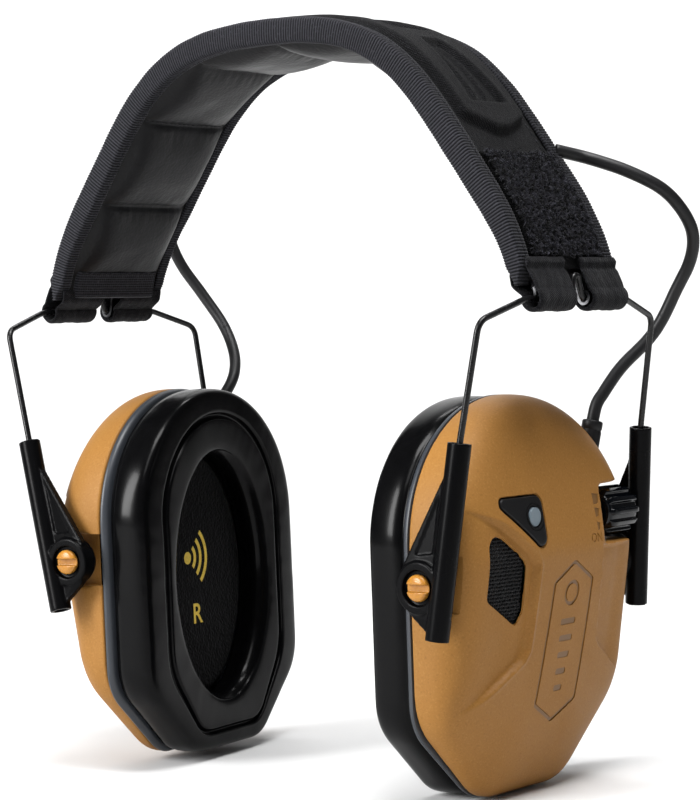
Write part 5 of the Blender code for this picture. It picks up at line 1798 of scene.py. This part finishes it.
def make_hook_patch(side, mirror):
    """The loop pile patch: a woven base and a few thousand curled threads."""
    angles, y, grid_a, grid_y = band_grid(*PATCH_ENDS, 1.0, PATCH_HALF, 36)
    edge = np.minimum(np.minimum(grid_a - PATCH_ENDS[0], PATCH_ENDS[1] - grid_a) * 1.45, PATCH_HALF - np.abs(grid_y))
    lift = 0.75 * smoothstep(0.0, 0.8, edge) - 0.35
    rough = 0.16 * wave_noise(cloth_points(grid_a, grid_y), 1.7, 91, 2)
    top = -(lift + rough.reshape(grid_a.shape))
    item = band_slab(side + "_pile_base", at_end(angles, mirror), y, top, np.full(grid_a.shape, 0.95))
    finish_piece(set_material(item, "hook_base"), "headband", "black_fabric", side + "_hook_patch")
    rng = np.random.default_rng(5 if mirror > 0 else 6)
    count = PILE_COUNT
    a0 = rng.uniform(7.5, 29.4, count)
    y0 = rng.uniform(-16.5, 16.5, count)
    heading = rng.uniform(0, 2 * math.pi, count)
    width = rng.uniform(0.35, 0.85, count)
    clump = wave_noise(cloth_points(a0, y0), 2.3, 93, 2)
    height = rng.uniform(0.6, 1.6, count) * (0.85 + 0.75 * clump)
    lean = rng.normal(0, 0.35, (count, 2))
    steps = np.linspace(0, math.pi, 6)
    sides = 3
    across = np.cos(steps)[None, :] * width[:, None]
    up = np.sin(steps)[None, :] * height[:, None]
    da = (across * np.cos(heading)[:, None] + up * lean[:, :1]) / PILE_REACH * 57.3
    dy = across * np.sin(heading)[:, None] + up * lean[:, 1:]
    verts = np.zeros((count, len(steps), sides, 3))
    for k, angle in enumerate(turns(sides)):
        off_up = PILE_RADIUS * math.cos(angle)
        off_side = PILE_RADIUS * math.sin(angle)
        a = a0[:, None] + da - off_side * np.sin(heading)[:, None] / PILE_REACH * 57.3
        yy = np.clip(y0[:, None] + dy + off_side * np.cos(heading)[:, None], -17.4, 17.4)
        verts[:, :, k] = band_xyz(at_end(a, mirror), -(0.30 + up * 0.8 + off_up), yy)
    faces = []
    pattern = ring_faces(len(steps), sides)
    for i in range(count):
        faces.extend(offset_faces(i * len(steps) * sides, pattern))
    pile = new_object(side + "_pile", to_world(verts.reshape(-1, 3)), faces, MATS["hook_thread"], flip=mirror < 0)
    finish_piece(pile, "headband", "black_fabric")


def loop_path():
    """The fold of a hanging loop, seen from the side, as (x, z) for the +X end."""
    points = [band_xyz(a, -0.85, 0.0) for a in (7.1, 6.2, 5.3)]
    path = [(p[0], p[2]) for p in points]
    path.append((89.95, 4.3))
    for angle in np.linspace(58, -196, 28):
        path.append((89.0 + 2.95 * math.cos(math.radians(angle)), 2.95 * math.sin(math.radians(angle))))
    for degrees, inset in ((2.2, 4.6), (3.4, 4.9), (4.8, 4.8)):
        place = band_xyz(degrees, inset, 0.0)
        path.append((place[0], place[2]))
    return smooth_route([np.array(p) for p in path], 0.45)


def make_end_loop(side, mirror, end):
    """One twill loop round the wire, with a folded hem where it is sewn down."""
    path = loop_path()
    tangent = np.gradient(path, axis=0)
    tangent /= np.linalg.norm(tangent, axis=1)[:, None]
    normal = np.stack([tangent[:, 1], -tangent[:, 0]], axis=1)
    if (path[5] + normal[5])[0] < path[5][0]:
        normal = -normal
    along = travel(path)
    ys = np.linspace(3.9, 21.4, 30)
    rows, uv = [], []
    for i, (point, side_dir) in enumerate(zip(path, normal)):
        s = along[i]
        hem = 0.40 * math.exp(-((s - 1.3) / 0.8) ** 2) - 0.35 * math.exp(-((s - 3.2) / 0.7) ** 2)
        thin = 0.35 if i in (0, len(path) - 1) else 0.55
        ring = []
        for part, span, share in ((1, ys, 1.0), (-1, ys[::-1], 0.3)):
            for y in span:
                half = thin * (0.45 + 0.55 * float(smoothstep(0.0, 0.55, min(y - 3.9, 21.4 - y))))
                wave = 0.10 * math.sin(y * 0.62 + s * 0.21 + end) + 0.05 * math.sin(y * 1.7 - s * 0.5)
                spread = point + side_dir * (part * half + (wave + hem * (part > 0)) * share)
                ring.append((mirror * spread[0], end * (y + 0.12 * math.sin(s * 0.7)), spread[1]))
                uv.append((s, y))
        rows.append(ring)
    verts = to_world(np.array(rows).reshape(-1, 3))
    label = side + ("_front" if end < 0 else "_rear")
    item = outward(new_object(label + "_twill_loop", verts, ring_faces(len(rows), len(rows[0])), MATS["twill"]))
    set_uv(item, np.array(uv) * MM)
    item.data.set_sharp_from_angle(angle=math.radians(60))
    finish_piece(item, "headband", "black_fabric", label + "_loop")


def make_hem(side, mirror):
    """The ribbed strap that finishes the pad's end."""
    angles, y, grid_a, grid_y = band_grid(*HEM_ENDS, 0.3, HEM_HALF, 220)
    edge = np.minimum(np.minimum(grid_a - HEM_ENDS[0], HEM_ENDS[1] - grid_a) * 1.4, HEM_HALF - np.abs(grid_y))
    flat, _ = pad_inset(np.stack([grid_a.ravel(), grid_y.ravel()], axis=1))
    base = flat.reshape(grid_a.shape) + 0.3
    top = base + 0.85 * smoothstep(-0.1, 0.7, edge) + 0.07 * np.sin(2 * math.pi * grid_y / 0.9)
    top += 0.10 * wave_noise(cloth_points(grid_a, grid_y), 8.0, 97, 2).reshape(grid_a.shape)
    item = band_slab(side + "_hem_tape", at_end(angles, mirror), y, base - 0.35, top)
    finish_piece(set_material(item, "grosgrain"), "headband", "black_fabric", side + "_hem_strap")
    pairs = [band_xyz(at_end(np.array([8.9, 8.9]), mirror), pad_edge(8.9, y_at) + 1.2,
                      np.array([y_at - 0.7, y_at + 0.7])) for y_at in np.arange(-15.5, 15.6, 2.3)]
    merge_stitches(side + "_hem_stitches", [pairs], 0.18)


def make_headband():
    """All of the headband's own pieces."""
    make_cover()
    make_pad()
    make_binding("front", -1)
    make_binding("rear", 1)
    for side, mirror in (("left", 1), ("right", -1)):
        make_hook_patch(side, mirror)
        make_hem(side, mirror)
        for end in (-1, 1):
            make_end_loop(side, mirror, end)


# ---------------------------------------------------------------- assembly
def paint_frame(pairs):
    """Give the CAD parts that stay visible their materials."""
    for key, names in pairs.items():
        for name in names:
            for side in ("left_", "right_"):
                for full in (side + name, name):
                    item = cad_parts.get(full)
                    if item is not None and item.type == "MESH":
                        item.data.materials.clear()
                        item.data.materials.append(MATS[key])


def make_cups():
    """Everything on both cups."""
    for side, cup in CUPS.items():
        make_shell(side, cup)
        mark_shade_fills(side, cup)
        window_wires(side, cup)
        make_bezel(side, cup)
        make_relief(side, cup)
        make_studs(side, cup)
        make_seat_ring(side, cup)
        make_cushion(side, cup)
        make_liner(side, cup)
        for end in (-1, 1):
            make_arm(side, cup, end)
        make_bail(side, cup)
    make_knob(CUPS["left"])
    make_door(CUPS["right"])


paint_frame({"board": ["circuit_board"], "inner_black": ["potentiometer", "baffle", "speaker", "microphone"],
             "battery": ["battery_upper", "battery_lower"], "spring": ["spring_band"]})
make_cups()
make_camera()
make_stage()
for side_name, side_cup in CUPS.items():
    make_cables(side_name, side_cup)
make_headband()
